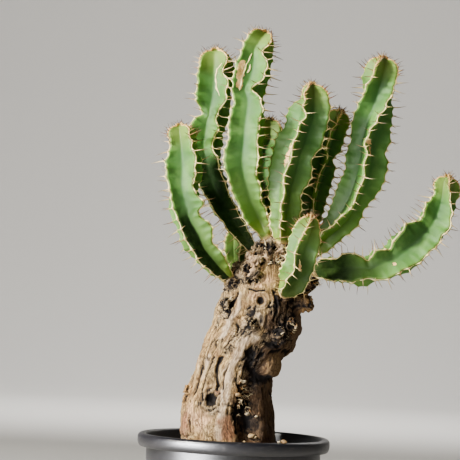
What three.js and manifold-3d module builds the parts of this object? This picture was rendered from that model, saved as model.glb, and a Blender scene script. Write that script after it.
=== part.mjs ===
// A potted caudex euphorbia: a thick woody caudex stands in a round plastic nursery pot full of gritty soil and
// carries ten four-winged green stems. Each wing ends in a horny cream margin that bears pairs of spines.
// Millimetres, +Z up, the viewer looks along +Y. The origin is the middle of the pot's underside.
import * as THREE from 'three';
import Module from 'manifold-3d';

const wasm = await Module();
wasm.setup();

// Driving dimensions
const GAP = 0.3;                // clearance between neighbouring pieces
const POT_HEIGHT = 130;
const POT_RIM_RADIUS = 75;
const POT_BODY_RADIUS = 68;     // outside radius of the pot's body just under the lip
const POT_BASE_RADIUS = 54;     // and at the foot
const POT_WALL = 1.8;
const POT_FLOOR = 3;
const POT_SIDES = 32;
const LIP_HEIGHT = 10;
const FOOT_RECESS = 1.4;        // the ring between the pot's two feet stands this high
const DRAIN_HOLES = 6;
const DRAIN_RADIUS = 5;
const DRAIN_AT = 35;            // distance of the drain holes from the pot's axis
const SOIL_AT_WALL = 117;       // height of the soil where it meets the pot
const SOIL_AT_CAUDEX = 123.5;   // height of the soil where it meets the caudex
const SOIL_RINGS = [61, 56, 51, 46, 41, 35, 20]; // radii of the rings of the soil's top
const SOIL_SLOPE = [40, 64];    // the soil falls to the pot's wall between these radii
const SOIL_SIDES = 36;
const SOIL_GRAIN = 2.6;         // unevenness of the soil's top
const NECK_RADIUS = 4.8;        // a stem's round neck, where it leaves the wood
const TENON = 7;                // how deep a neck stands in the wood
const RIBS = 4;
const VALLEY_SHARE = 0.42;      // depth of the groove between two wings, as a share of the wing's reach
const FLARE_LENGTH = 18;        // the winged section grows out of the round neck over this length
const TIP_LENGTH = 9;           // the rounded tip of a stem
const TIP_SHARE = 0.3;          // reach left at the very tip
const MARGIN_WIDTH = 2.2;
const MARGIN_HEIGHT = 1.5;
const SPINE_PITCH = 16;
const SPINE_LENGTH = 8;
const SPINE_BASE = 2;           // length of margin that a pair of spines grows from
const SPINE_FIRST = 9;          // distance of the first pair from the neck
const SPINE_LAST = 5;           // and of the last pair from the tip
const SPINE_OUT = 0.78;         // a spine's direction: share outward from the wing
const SPINE_ACROSS = 0.6;       // share to its own side
const SPINE_ALONG = 0.12;       // share towards the tip
const SPINE_CREST = 0.9;        // further share towards the tip where the stem ends
const CREST_LENGTH = 14;        // length of stem in which the spines turn towards the tip
const SECTION_FIRST = 4;        // distance from the neck of the first winged section
const WAVE_LENGTH = 31;         // wings run in waves of this length
const WAVE_SHARE = 0.09;        // how much a wing with no dents of its own waves in and out
const WAVE_START = [6, 30];     // the waves grow in over these distances from the neck
const SWAY_DEG = 7;             // how much such a wing sways from side to side
const CAP_STOPS = [[0.45, 1.6], [1.4, 1], [2.2, -2.1]]; // tip cap: height, and radius beyond the tip's flesh
const CAP_SIDES = 8;
const COLLAR_EXTRA = 3.4;       // woody collar round each neck
const COLLAR_DEPTH = 13;
const COLLAR_FLARE = 1;         // a collar is this much wider inside the wood
const HOLE_SIDES = 8;
const MOUTH_ROOM = 1.2;         // room between the opening wings and the wood round them
const MOUTH_STOPS = [0.6, 4, 20]; // the mouth round a neck widens at these distances from the neck's start
const CLEAR_STEP = 4;           // spines are kept clear of the other stems at steps of this length
const FACET = 0.3;              // flat facets of the wood and the soil may merge within this distance

// Each stem is a list of points from its neck to its tip: x, y, z, reach of the wings, and turn. Turn is the
// direction of wing 0 in degrees from the viewer's side, and the other wings follow at 90 degree steps.
// A dent is: wing, distance from the neck, depth as a share of the reach (below zero for a bulge), turn in
// degrees, and half length.
const STEMS = [
  {
    name: 'left',
    points: [
      [-8, -6, 251, 4.8, 45], [-24, -14, 266, 12.5, 45], [-36, -18, 283, 14, 45], [-45, -20, 302, 15.5, 45],
      [-49, -22, 320, 16.5, 45], [-49, -22, 338, 17.5, 45], [-51, -21, 354, 13.5, 45], [-53, -20, 368, 12, 45],
    ],
    dents: [
      [0, 88, 0.22, 0, 8], [0, 71, -0.3, 0, 5], [0, 60, 0.22, 0, 6], [0, 46, -0.15, 0, 6], [0, 33, 0.2, 0, 6],
      [3, 74, 0.25, 0, 18], [3, 119, 0.22, 0, 10], [3, 34, -0.15, 0, 9],
    ],
  },
  {
    name: 'left_back',
    points: [
      [11, 6, 274, 4.8, 45], [-3, 8, 291, 9, 45], [-14, 12, 307, 11, 45], [-25, 15, 326, 13, 45],
      [-32, 16, 346, 14, 45], [-33, 15, 370, 16, 45], [-29, 13, 393, 17, 45], [-28, 11, 414, 17, 45],
      [-29, 9, 433, 14, 45],
    ],
    dents: [[0, 160, 0.45, 0, 6], [0, 122, 0.5, 0, 8], [0, 97, 0.5, 0, 8], [3, 121, 0.5, 0, 6]],
  },
  {
    name: 'tall',
    points: [
      [20, -1, 284, 4.8, 50], [12, -4, 300, 10, 48], [3, -12, 318, 14, 45], [-3, -18, 340, 18, 45],
      [-3, -21, 359, 17.5, 45], [-2, -22, 379, 18, 45], [-1, -21, 395, 17.5, 45], [1, -20, 413, 17, 45],
      [4, -18, 431, 15.5, 45], [10, -16, 444, 12, 45],
    ],
    dents: [
      [0, 121, 0.5, -34, 6], [0, 152, 0.4, -10, 6], [0, 90, 0.15, 0, 7], [0, 54, 0.15, 0, 8],
      [0, 33, 0.15, 0, 8], [3, 155, 0.15, 0, 14], [3, 108, 0.22, 0, 9], [3, 86, 0.12, 0, 8],
      [3, 20, -0.3, 0, 9],
    ],
  },
  {
    name: 'centre',
    points: [
      [31, -10, 281, 4.8, -10], [31, -15, 297, 11, -10], [32, -19, 314, 15, -8], [35, -21, 334, 16.5, -13],
      [40, -22, 353, 19, -12], [44, -23, 369, 17, -18], [48, -24, 386, 17, -22], [49, -25, 404, 11, -20],
    ],
    dents: [
      [3, 92, 0.12, 0, 6], [3, 119, 0.5, 0, 9], [3, 28, 0.25, 0, 12],
      [0, 100, 0.1, 12, 8], [1, 71, 0.2, 0, 9], [1, 40, 0.2, 0, 8],
    ],
  },
  {
    name: 'centre_back',
    points: [
      [23, 13, 275, 4.8, 30], [20, 19, 299, 10, 35], [16, 22, 325, 12.5, 40], [16, 24, 353, 13, 45],
      [18, 24, 368, 13, 45], [19, 24, 381, 12, 45],
    ],
    dents: [[0, 84, 0.4, 0, 5]],
  },
  {
    name: 'right_back',
    points: [
      [45, 12, 272, 4.8, 0], [52, 16, 298, 8.5, 0], [56, 18, 318, 9.5, 0], [60, 20, 337, 10.5, 0],
      [65, 21, 359, 11, 0], [70, 22, 377, 10.5, 0], [75, 22, 390, 9, 0],
    ],
    dents: [[1, 84, 0.4, 0, 5]],
  },
  {
    name: 'right',
    points: [
      [54, 0, 273, 4.8, -25], [65, -1, 286, 10, -30], [78, -3, 301, 13, -12], [86, -4, 318, 15, 5],
      [93, -5, 338, 17, -3], [96, -5, 357, 16.5, -8], [98, -5, 375, 16, 0], [101, -5, 394, 15, 30],
      [103, -5, 413, 14.5, 60], [105, -5, 430, 12, 78],
    ],
    dents: [
      [1, 97, 0.2, 0, 5], [1, 52, 0.25, 0, 12], [1, 28, 0.2, 0, 8], [1, 116, 0.1, 0, 6],
      [3, 103, 0.12, 0, 8], [3, 76, 0.14, 0, 10], [0, 103, 0.1, -10, 6],
    ],
  },
  {
    name: 'low_right',
    points: [
      [56, -5, 260, 4.8, 45], [67, -9, 263, 12, 45], [81, -12, 264, 15, 45], [102, -14, 266, 17, 45],
      [122, -14, 276, 18, 45], [138, -12, 290, 19, 45], [151, -10, 309, 15, 40], [157, -8, 325, 10.5, 12],
      [159, -7, 338, 9, 0],
    ],
    dents: [
      [3, 19, 0.28, 0, 7], [3, 43, 0.5, 0, 7], [3, 62, 0.25, 0, 8], [3, 86, -0.1, 0, 5], [3, 103, 0.35, 0, 6],
      [3, 128, 0.25, 0, 8], [2, 20, 0.25, 0, 8], [2, 44, 0.35, 0, 9], [2, 64, 0.2, 0, 8], [2, 103, 0.3, 0, 7],
      [0, 43, 0.2, 0, 7], [0, 110, -0.2, 0, 8],
    ],
  },
  {
    name: 'front',
    points: [
      [34, -20, 242, 4.8, -20], [39, -31, 251, 12, -20], [43, -39, 265, 13, -15], [46, -43, 277, 13, -22],
      [50, -44, 289, 11.5, -8], [51, -44, 300, 8, 0],
    ],
    dents: [[3, 33, 0.22, 0, 12], [1, 62, 0.3, 0, 9]],
  },
  {
    name: 'small_back',
    points: [
      [0, 15, 256, 4.8, 45], [-4, 24, 268, 8.5, 45], [-5, 28, 281, 8.5, 45], [-4, 30, 293, 7, 45],
    ],
    dents: [],
  },
];

// Level sections of the caudex, from the root's end up: z, middle x, middle y, half width, half depth.
const CAUDEX_SECTIONS = [
  [62, -2, 0, 13, 12], [90, -2, 0, 27, 25], [116, -3, 0, 36.5, 34], [128, -3, 0, 37.5, 35],
  [138, -4, 0, 37.5, 34.5], [149, -5.5, 0, 36.5, 33.5], [161, -4.5, 0, 33.5, 32], [173, -3, 0, 31.5, 31],
  [185, -1, 0, 30.5, 30.5], [192, 2.5, 0, 33, 31], [198, 6, 0, 35.5, 32], [207, 10.5, 0, 36, 32.5],
  [217, 14, 0, 35.5, 32.5], [227, 15, 0, 32.5, 31], [237, 16, 0, 30.5, 29], [246, 16, 0, 27.5, 26],
  [254, 16.5, 1, 23.5, 23],
  [262, 18, 2, 19, 19.5], [270, 20, 2, 15.5, 16.5], [277, 21, 2, 13, 14], [283, 21.5, 1, 9, 9.5],
];
const CAUDEX_SIDES = 24;
const WOOD_STARTS = [120, 140]; // the bark's relief grows in over these heights, just above the soil
const WOOD_ENDS = [262, 280];   // and fades out over these, at the crown
// Broad waves of the bark: share of the radius, number of waves round, and rise over which one turns by a radian.
const RELIEF = [{ share: 0.03, round: 3, rise: 21 }, { share: 0.02, round: 7, rise: -9 }];

// Furrows run up the wood: direction in degrees from the viewer's side, depth, half width in degrees, and the
// heights of its ends. Each grows in over FURROW_START round its lower end and fades over FURROW_END round its
// upper end.
const FURROW_START = [-8, 12];
const FURROW_END = [-15, 8];
const FURROWS = [
  [23, 8, 13, 122, 196], [-22, 2.5, 9, 150, 240], [-62, 2, 9, 140, 225], [70, 3, 14, 130, 190],
  [118, 4, 16, 124, 235], [170, 3.5, 14, 135, 250], [-120, 4, 16, 126, 215],
];

// Knobs, cut stubs and healed scars fused into the wood: from point, to point, radius at each end.
const KNOBS = [
  { from: [14, -6, 187], to: [28, -20, 185], radii: [12, 10] },
  { from: [40, 2, 240], to: [58, -1, 258], radii: [10, 7.5] },
  { from: [32, -6, 231], to: [56, -12, 236], radii: [8.5, 7] },
  { from: [-28, -2, 158], to: [-40, -4, 161], radii: [6, 4] },
  { from: [-4, -14, 231], to: [-13, -24, 231], radii: [8, 5] },
  { from: [10, -20, 217], to: [8, -35, 217], radii: [8, 5.5] },
  { from: [26, -14, 209], to: [33, -29, 209], radii: [9, 6] },
  { from: [32, -10, 219], to: [43, -22, 219], radii: [8, 5.5] },
  { from: [14, 18, 176], to: [22, 34, 178], radii: [10, 7] },
  { from: [2, 18, 215], to: [-2, 34, 217], radii: [9, 6] },
];
const KNOB_SIDES = 7;
const KNOB_ROUNDING = [2, 1.5, 0.6]; // a knob rounds off from this far before its end to this far beyond it,
                                     // where this share of its radius is left

const MATERIALS = {
  pot: new THREE.MeshStandardMaterial({ color: '#3b3c42', roughness: 0.42, metalness: 0 }),
  soil: new THREE.MeshStandardMaterial({ color: '#7b6248', roughness: 0.95, metalness: 0 }),
  bark: new THREE.MeshStandardMaterial({ color: '#a48c6c', roughness: 0.9, metalness: 0 }),
  flesh: new THREE.MeshStandardMaterial({ color: '#5f8f4c', roughness: 0.5, metalness: 0 }),
  margin: new THREE.MeshStandardMaterial({ color: '#e2d2a8', roughness: 0.6, metalness: 0 }),
};

const radians = THREE.MathUtils.degToRad;
const smoothstep = THREE.MathUtils.smoothstep;

// A repeatable draw between 0 and 1 for whole number n.
function draw(n) {
  const value = Math.sin(n * 12.9898 + 4.1414) * 43758.5453;
  return value - Math.floor(value);
}

// Turns lists of points and triangles into a geometry.
function geometryOf(points, triangles) {
  const geometry = new THREE.BufferGeometry();
  const places = points.flatMap((p) => [p.x, p.y, p.z]);
  geometry.setAttribute('position', new THREE.Float32BufferAttribute(places, 3));
  geometry.setIndex(triangles.flat());
  return geometry;
}

// Joins closed rings of equally many points into one closed skin with a fan at each end. spikes[i] lists the
// sides of ring i that rise to a point on the way to ring i + 1, each as [side, point].
function loft(rings, spikes = {}) {
  const sides = rings[0].length;
  const points = rings.flat().map((p) => p.clone());
  const triangles = [];
  for (let i = 0; i + 1 < rings.length; i += 1) {
    for (let side = 0; side < sides; side += 1) {
      const a = i * sides + side;
      const b = i * sides + (side + 1) % sides;
      const c = b + sides;
      const d = a + sides;
      const spike = (spikes[i] ?? []).find(([spikeSide]) => spikeSide === side);
      if (spike) {
        points.push(spike[1].clone());
        const e = points.length - 1;
        triangles.push([a, b, e], [b, c, e], [c, d, e], [d, a, e]);
      } else {
        triangles.push([a, b, c], [a, c, d]);
      }
    }
  }
  const fan = (ring, first, forward) => {
    const middle = ring.reduce((sum, p) => sum.add(p), new THREE.Vector3()).divideScalar(sides);
    points.push(middle);
    const m = points.length - 1;
    for (let side = 0; side < sides; side += 1) {
      const a = first + side;
      const b = first + (side + 1) % sides;
      triangles.push(forward ? [m, a, b] : [m, b, a]);
    }
  };
  fan(rings[0], 0, false);
  fan(rings[rings.length - 1], (rings.length - 1) * sides, true);
  const isInward = volumeOf(points, triangles) < 0;
  return geometryOf(points, isInward ? triangles.map(([a, b, c]) => [a, c, b]) : triangles);
}

function volumeOf(points, triangles) {
  const cross = new THREE.Vector3();
  return triangles.reduce((sum, [a, b, c]) => sum + points[a].dot(cross.crossVectors(points[b], points[c])), 0);
}

function solidOf(geometry) {
  const mesh = new wasm.Mesh({
    numProp: 3,
    vertProperties: new Float32Array(geometry.attributes.position.array),
    triVerts: new Uint32Array(geometry.index.array),
  });
  return new wasm.Manifold(mesh);
}

function geometryFrom(solid) {
  const mesh = solid.getMesh();
  const geometry = new THREE.BufferGeometry();
  geometry.setAttribute('position', new THREE.Float32BufferAttribute(mesh.vertProperties, 3));
  geometry.setIndex(Array.from(mesh.triVerts));
  return geometry;
}

// A round or tapered bar between two points, along which each of stops gives [distance from the start, radius].
function bar(start, direction, stops, sides) {
  const turn = new THREE.Quaternion().setFromUnitVectors(new THREE.Vector3(0, 0, 1), direction);
  return loft(stops.map(([along, radius]) => Array.from({ length: sides }, (_, i) => {
    const angle = (i / sides) * 2 * Math.PI;
    return new THREE.Vector3(radius * Math.cos(angle), radius * Math.sin(angle), along)
      .applyQuaternion(turn).add(start);
  })));
}

// Places and directions along one stem.
class Stem {
  constructor(spec, index) {
    this.spec = spec;
    this.index = index;
    this.curve = new THREE.CatmullRomCurve3(
      spec.points.map(([x, y, z]) => new THREE.Vector3(x, y, z)), false, 'catmullrom', 0.5);
    this.length = this.curve.getLength();
    this.start = this.curve.getPointAt(0);
    this.startDirection = this.curve.getTangentAt(0);
  }

  // How far the waves have grown in at a distance along wing rib: a wing with dents of its own has none.
  waves(along, rib) {
    return this.spec.dents.some(([dentRib]) => dentRib === rib) ? 0 : smoothstep(along, ...WAVE_START);
  }

  // Straight-line value of column 3 (reach) or 4 (turn) of the points at a distance along the stem.
  column(along, which) {
    const points = this.spec.points;
    const t = this.curve.getUtoTmapping(THREE.MathUtils.clamp(along / this.length, 0, 1));
    const place = t * (points.length - 1);
    const i = Math.min(Math.floor(place), points.length - 2);
    return THREE.MathUtils.lerp(points[i][which], points[i + 1][which], place - i);
  }

  frame(along) {
    const share = THREE.MathUtils.clamp(along / this.length, 0, 1);
    const tangent = this.curve.getTangentAt(share);
    const place = this.curve.getPointAt(share);
    place.addScaledVector(tangent, along - share * this.length);
    const viewer = new THREE.Vector3(0, -1, 0);
    const front = viewer.addScaledVector(tangent, -viewer.dot(tangent)).normalize();
    const side = new THREE.Vector3().crossVectors(tangent, front);
    return { place, tangent, front, side };
  }

  // How far wing rib stands out, with its waves, its dents and the rounded tip.
  reach(along, rib) {
    const phase = 2 * Math.PI * draw(10 * this.index + rib);
    let reach = this.column(along, 3);
    reach *= 1 + this.waves(along, rib) * WAVE_SHARE * Math.sin((2 * Math.PI * along) / WAVE_LENGTH + phase);
    for (const [dentRib, at, depth, , half] of this.spec.dents) {
      if (dentRib === rib) reach *= 1 - depth * Math.exp(-(((along - at) / half) ** 2));
    }
    return reach * this.tipShare(along);
  }

  tipShare(along) {
    const past = THREE.MathUtils.clamp((along - (this.length - TIP_LENGTH)) / TIP_LENGTH, 0, 1);
    return TIP_SHARE + (1 - TIP_SHARE) * Math.sqrt(1 - past * past);
  }

  // Direction of wing rib, in radians from the viewer's side.
  angle(along, rib) {
    const phase = 2 * Math.PI * draw(10 * this.index + rib + 5);
    let angle = this.column(along, 4) + (rib * 360) / RIBS;
    angle += this.waves(along, rib) * SWAY_DEG * Math.sin((2 * Math.PI * along) / (1.3 * WAVE_LENGTH) + phase);
    for (const [dentRib, at, , turn, half] of this.spec.dents) {
      if (dentRib === rib) angle += turn * Math.exp(-(((along - at) / half) ** 2));
    }
    return radians(angle);
  }

  valley(along) {
    const share = VALLEY_SHARE + (1 - VALLEY_SHARE) * (1 - smoothstep(along, 0, FLARE_LENGTH));
    return this.column(along, 3) * share * this.tipShare(along);
  }

  static out(frame, angle) {
    return frame.front.clone().multiplyScalar(Math.cos(angle)).addScaledVector(frame.side, Math.sin(angle));
  }

  // The places along the stem that carry a pair of spines on every wing.
  spinePlaces() {
    const run = this.length - SPINE_FIRST - SPINE_LAST;
    const steps = Math.max(1, Math.round(run / SPINE_PITCH));
    return Array.from({ length: steps + 1 }, (_, i) => SPINE_FIRST + (run * i) / steps);
  }

  // Sections of the stem: at its ends, at both sides of every pair of spines, and at the dents between them.
  stations() {
    const places = this.spinePlaces();
    const pairs = places.flatMap((place) => [place - SPINE_BASE / 2, place + SPINE_BASE / 2]);
    const dents = this.spec.dents.map(([, at]) => at)
      .filter((at, i, all) => places.every((place) => Math.abs(at - place) > 1.6 * SPINE_BASE)
        && all.slice(0, i).every((other) => Math.abs(at - other) > SPINE_BASE));
    return [SECTION_FIRST, ...pairs, ...dents, this.length - 2, this.length].sort((a, b) => a - b);
  }
}

// The green body of a stem: a four-winged section on a round neck.
function fleshOf(stem) {
  const ringAt = (along, radius) => {
    const frame = stem.frame(along);
    const ring = [];
    for (let rib = 0; rib < RIBS; rib += 1) {
      const angle = stem.angle(along, rib);
      const next = stem.angle(along, (rib + 1) % RIBS) + (rib + 1 === RIBS ? 2 * Math.PI : 0);
      ring.push(
        Stem.out(frame, angle).multiplyScalar(radius ?? stem.reach(along, rib)).add(frame.place),
        Stem.out(frame, (angle + next) / 2).multiplyScalar(radius ?? stem.valley(along)).add(frame.place),
      );
    }
    return ring;
  };
  return loft([ringAt(-TENON, NECK_RADIUS), ringAt(0, NECK_RADIUS), ...stem.stations().map((s) => ringAt(s))]);
}

// The cream margins of a stem: a ridge along each wing with its spines, joined by a cap over the tip.
function marginOf(stem, others) {
  const stations = stem.stations();
  const places = stem.spinePlaces();
  const end = stem.frame(stem.length);
  const endReach = NECK_RADIUS * TIP_SHARE + 2;
  const capStops = CAP_STOPS.map(([height, beyond]) => [height, endReach + beyond]);
  let margin = solidOf(bar(end.place, end.tangent, capStops, CAP_SIDES));
  for (let rib = 0; rib < RIBS; rib += 1) {
    const rings = stations.map((along) => {
      const frame = stem.frame(along);
      const out = Stem.out(frame, stem.angle(along, rib));
      const slope = (stem.reach(along + 0.2, rib) - stem.reach(along - 0.2, rib)) / 0.4;
      const up = out.clone().addScaledVector(frame.tangent, -Math.max(slope, -2)).normalize();
      const across = new THREE.Vector3().crossVectors(frame.tangent, out).multiplyScalar(MARGIN_WIDTH / 2);
      const foot = frame.place.clone().addScaledVector(out, stem.reach(along, rib)).addScaledVector(up, GAP);
      return [
        foot.clone().sub(across),
        foot.clone().addScaledVector(up, MARGIN_HEIGHT),
        foot.clone().add(across),
      ];
    });
    const spikes = {};
    stations.forEach((along, i) => {
      const place = places.find((p) => Math.abs(p - SPINE_BASE / 2 - along) < 1e-6);
      if (place === undefined) return;
      const frame = stem.frame(place);
      const out = Stem.out(frame, stem.angle(place, rib));
      const across = new THREE.Vector3().crossVectors(frame.tangent, out);
      spikes[i] = [0, 1].map((side) => {
        const spread = side === 0 ? -1 : 1;
        const lift = 0.2 * (draw(stem.index * 97 + rib * 31 + i * 7 + side) - 0.5);
        const root = rings[i][1].clone().add(rings[i + 1][1]).multiplyScalar(0.5);
        const crest = smoothstep(place, stem.length - CREST_LENGTH, stem.length);
        const lean = SPINE_ALONG + lift + SPINE_CREST * crest;
        const aim = out.clone().multiplyScalar(SPINE_OUT).addScaledVector(across, SPINE_ACROSS * spread)
          .addScaledVector(frame.tangent, lean).normalize();
        return [side, root.addScaledVector(aim, SPINE_LENGTH)];
      }).filter(([, point]) => others.every((other) => isClear(point, rings[i][1], other)));
    });
    const inward = Stem.out(end, stem.angle(stem.length, rib)).multiplyScalar(endReach * 0.4).add(end.place);
    const sideways = new THREE.Vector3().crossVectors(end.tangent, Stem.out(end, stem.angle(stem.length, rib)))
      .multiplyScalar(MARGIN_WIDTH / 2);
    rings.push([
      inward.clone().addScaledVector(end.tangent, 0.7).sub(sideways),
      inward.clone().addScaledVector(end.tangent, 1.9),
      inward.clone().addScaledVector(end.tangent, 0.7).add(sideways),
    ]);
    margin = margin.add(solidOf(loft(rings, spikes)));
  }
  return geometryFrom(margin);
}

// True where a spine from root to point stays clear of another stem.
function isClear(point, root, other) {
  const samples = Math.ceil(other.length / CLEAR_STEP);
  for (let i = 0; i <= samples; i += 1) {
    const along = (other.length * i) / samples;
    const middle = other.frame(along).place;
    const room = other.column(along, 3) * (1 + WAVE_SHARE) + MARGIN_HEIGHT + 2 * GAP;
    const near = new THREE.Line3(root, point).closestPointToPoint(middle, true, new THREE.Vector3());
    if (near.distanceTo(middle) < room) return false;
  }
  return true;
}

// Size of the wood's section at a height and a turn from the viewer's side, with its furrows and broad waves.
function reliefOf(z, turn, halfWidth) {
  let size = 1;
  for (const [at, depth, half, low, high] of FURROWS) {
    const away = ((turn - at + 540) % 360) - 180;
    const starts = smoothstep(z, ...FURROW_START.map((d) => low + d));
    const ends = 1 - smoothstep(z, ...FURROW_END.map((d) => high + d));
    size -= (depth / halfWidth) * starts * ends * Math.exp(-((away / half) ** 2));
  }
  const grown = smoothstep(z, ...WOOD_STARTS) * (1 - smoothstep(z, ...WOOD_ENDS));
  for (const { share, round, rise } of RELIEF) {
    size += grown * share * Math.sin(round * radians(turn) + z / rise);
  }
  return size;
}

function caudexRing([z, x, y, halfWidth, halfDepth], extra, relief) {
  return Array.from({ length: CAUDEX_SIDES }, (_, i) => {
    const turn = (i / CAUDEX_SIDES) * 360 - 180;
    const size = relief ? reliefOf(z, turn, halfWidth) : 1;
    const across = (halfWidth * size + extra) * Math.sin(radians(turn));
    const towards = (halfDepth * size + extra) * Math.cos(radians(turn));
    return new THREE.Vector3(x + across, y - towards, z);
  });
}

function caudexOf(stems) {
  let wood = solidOf(loft(CAUDEX_SECTIONS.map((section) => caudexRing(section, 0, true))));
  for (const { from, to, radii } of KNOBS) {
    const start = new THREE.Vector3(...from);
    const line = new THREE.Vector3(...to).sub(start);
    const length = line.length();
    const [before, beyond, share] = KNOB_ROUNDING;
    const stops = [[0, radii[0]], [length - before, radii[1]], [length + beyond, radii[1] * share]];
    wood = wood.add(solidOf(bar(start, line.normalize(), stops, KNOB_SIDES)));
  }
  for (const stem of stems) {
    const collar = NECK_RADIUS + COLLAR_EXTRA;
    const stops = [[-COLLAR_DEPTH, collar + COLLAR_FLARE], [1, collar]];
    wood = wood.add(solidOf(bar(stem.start, stem.startDirection, stops, KNOB_SIDES)));
  }
  for (const stem of stems) {
    const hole = (NECK_RADIUS + GAP) / Math.cos(Math.PI / HOLE_SIDES);
    const [first, ...wider] = MOUTH_STOPS;
    const mouth = (along) => [along, stem.column(along, 3) + MARGIN_HEIGHT + 2 * GAP + MOUTH_ROOM];
    const stops = [[-TENON - GAP, hole], [first, hole], ...wider.map(mouth)];
    wood = wood.subtract(solidOf(bar(stem.start, stem.startDirection, stops, HOLE_SIDES)));
  }
  return wood.simplify(FACET);
}

function largestBody(solid) {
  return solid.decompose().sort((a, b) => b.volume() - a.volume())[0];
}

// Inner radius of the pot's wall at a height.
function potInside(z) {
  return THREE.MathUtils.mapLinear(z, 0, POT_HEIGHT - LIP_HEIGHT, POT_BASE_RADIUS, POT_BODY_RADIUS) - POT_WALL;
}

// The pot, turned from its profile of [radius, height]: the ringed underside, the body, the hollow lip and the
// inside.
function potOf() {
  const lipBottom = POT_HEIGHT - LIP_HEIGHT;
  const innerFoot = POT_BASE_RADIUS - 30;
  const outerFoot = POT_BASE_RADIUS - 2;
  const profile = [
    [0, 0], [innerFoot, 0], [innerFoot + 1.5, FOOT_RECESS], [outerFoot - 7, FOOT_RECESS], [outerFoot - 5.5, 0],
    [outerFoot, 0], [POT_BASE_RADIUS + 0.5, 2.5], [POT_BODY_RADIUS, lipBottom - 1],
    [POT_BODY_RADIUS + 0.3, lipBottom + 6.5], [POT_RIM_RADIUS - 2.8, lipBottom + 6.5],
    [POT_RIM_RADIUS - 2.4, lipBottom], [POT_RIM_RADIUS - 1, lipBottom], [POT_RIM_RADIUS, POT_HEIGHT - 4],
    [POT_RIM_RADIUS - 1.4, POT_HEIGHT - 0.8], [POT_RIM_RADIUS - 3.5, POT_HEIGHT],
    [POT_BODY_RADIUS + 0.2, POT_HEIGHT - 1.4], [potInside(lipBottom), lipBottom - 3],
    [potInside(POT_FLOOR), POT_FLOOR], [0, POT_FLOOR],
  ].map(([r, z]) => new THREE.Vector2(r, z));
  const rings = profile.filter((p) => p.x > 0).map((p) => Array.from({ length: POT_SIDES }, (_, i) => {
    const angle = (i / POT_SIDES) * 2 * Math.PI;
    return new THREE.Vector3(p.x * Math.cos(angle), p.x * Math.sin(angle), p.y);
  }));
  let pot = solidOf(loft(rings));
  const drill = [[0, DRAIN_RADIUS], [POT_FLOOR + 2, DRAIN_RADIUS]];
  for (let i = 0; i < DRAIN_HOLES; i += 1) {
    const angle = ((i + 0.5) / DRAIN_HOLES) * 2 * Math.PI;
    const start = new THREE.Vector3(DRAIN_AT * Math.cos(angle), DRAIN_AT * Math.sin(angle), -1);
    pot = pot.subtract(solidOf(bar(start, new THREE.Vector3(0, 0, 1), drill, HOLE_SIDES)));
  }
  return pot;
}

// The soil: a plug that fills the pot, with a grainy top that rises towards the caudex.
function soilOf() {
  const ringAt = (radius, z, grain, seed) => Array.from({ length: SOIL_SIDES }, (_, i) => {
    const angle = ((i + 0.5 * (seed % 2)) / SOIL_SIDES) * 2 * Math.PI;
    const jitter = grain * (draw(seed * 131 + i) - 0.5);
    return new THREE.Vector3(radius * Math.cos(angle), radius * Math.sin(angle), z + jitter);
  });
  const inside = (z) => potInside(z) * Math.cos(Math.PI / POT_SIDES) - GAP;
  const low = POT_FLOOR + GAP;
  const rings = [ringAt(inside(low), low, 0, 0), ringAt(inside(SOIL_AT_WALL), SOIL_AT_WALL, 0, 0)];
  SOIL_RINGS.forEach((radius, i) => {
    const height = THREE.MathUtils.lerp(SOIL_AT_CAUDEX, SOIL_AT_WALL, smoothstep(radius, ...SOIL_SLOPE));
    rings.push(ringAt(radius, height, SOIL_GRAIN, i + 3));
  });
  const hole = CAUDEX_SECTIONS.slice(0, 4).map((section) => caudexRing(section, GAP + 0.1, false));
  hole[0].forEach((p) => { p.z -= GAP; });
  hole.push(hole[3].map((p) => p.clone().setZ(POT_HEIGHT + 5)));
  return solidOf(loft(rings)).subtract(solidOf(loft(hole))).simplify(FACET);
}

const group = new THREE.Group();

function place(name, geometry, material) {
  const mesh = new THREE.Mesh(geometry, material);
  mesh.name = name;
  group.add(mesh);
}

const stems = STEMS.map((spec, index) => new Stem(spec, index));
place('pot', geometryFrom(largestBody(potOf())), MATERIALS.pot);
place('soil', geometryFrom(largestBody(soilOf())), MATERIALS.soil);
place('caudex', geometryFrom(largestBody(caudexOf(stems))), MATERIALS.bark);
for (const stem of stems) {
  place(`stem_${stem.spec.name}`, fleshOf(stem), MATERIALS.flesh);
  place(`margin_${stem.spec.name}`, marginOf(stem, stems.filter((other) => other !== stem)), MATERIALS.margin);
}

export default group;
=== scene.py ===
"""Looks of a potted caudex euphorbia: ten thorny four-winged stems on a furrowed woody caudex, in a
plastic pot of gritty soil. Lengths are in millimetres and become metres where a mesh is made. +Z is up,
the viewer looks along +Y, and the origin is the middle of the pot's underside."""
import math

import bpy
import numpy as np
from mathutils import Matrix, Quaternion, Vector, noise
from mathutils.bvhtree import BVHTree


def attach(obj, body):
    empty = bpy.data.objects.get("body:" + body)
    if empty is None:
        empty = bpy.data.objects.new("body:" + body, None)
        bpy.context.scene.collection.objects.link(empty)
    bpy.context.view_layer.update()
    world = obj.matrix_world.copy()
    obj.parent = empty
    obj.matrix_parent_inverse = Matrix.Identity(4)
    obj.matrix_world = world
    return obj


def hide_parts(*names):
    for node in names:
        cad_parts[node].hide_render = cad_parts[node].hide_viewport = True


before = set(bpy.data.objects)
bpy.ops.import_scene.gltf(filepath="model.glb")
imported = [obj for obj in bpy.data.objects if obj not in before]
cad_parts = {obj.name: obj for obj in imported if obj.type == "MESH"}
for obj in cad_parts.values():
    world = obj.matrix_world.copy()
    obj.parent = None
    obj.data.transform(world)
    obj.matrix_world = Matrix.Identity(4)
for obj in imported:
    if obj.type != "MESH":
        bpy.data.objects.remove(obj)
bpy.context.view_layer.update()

MM = 0.001
SEED = 11

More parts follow.
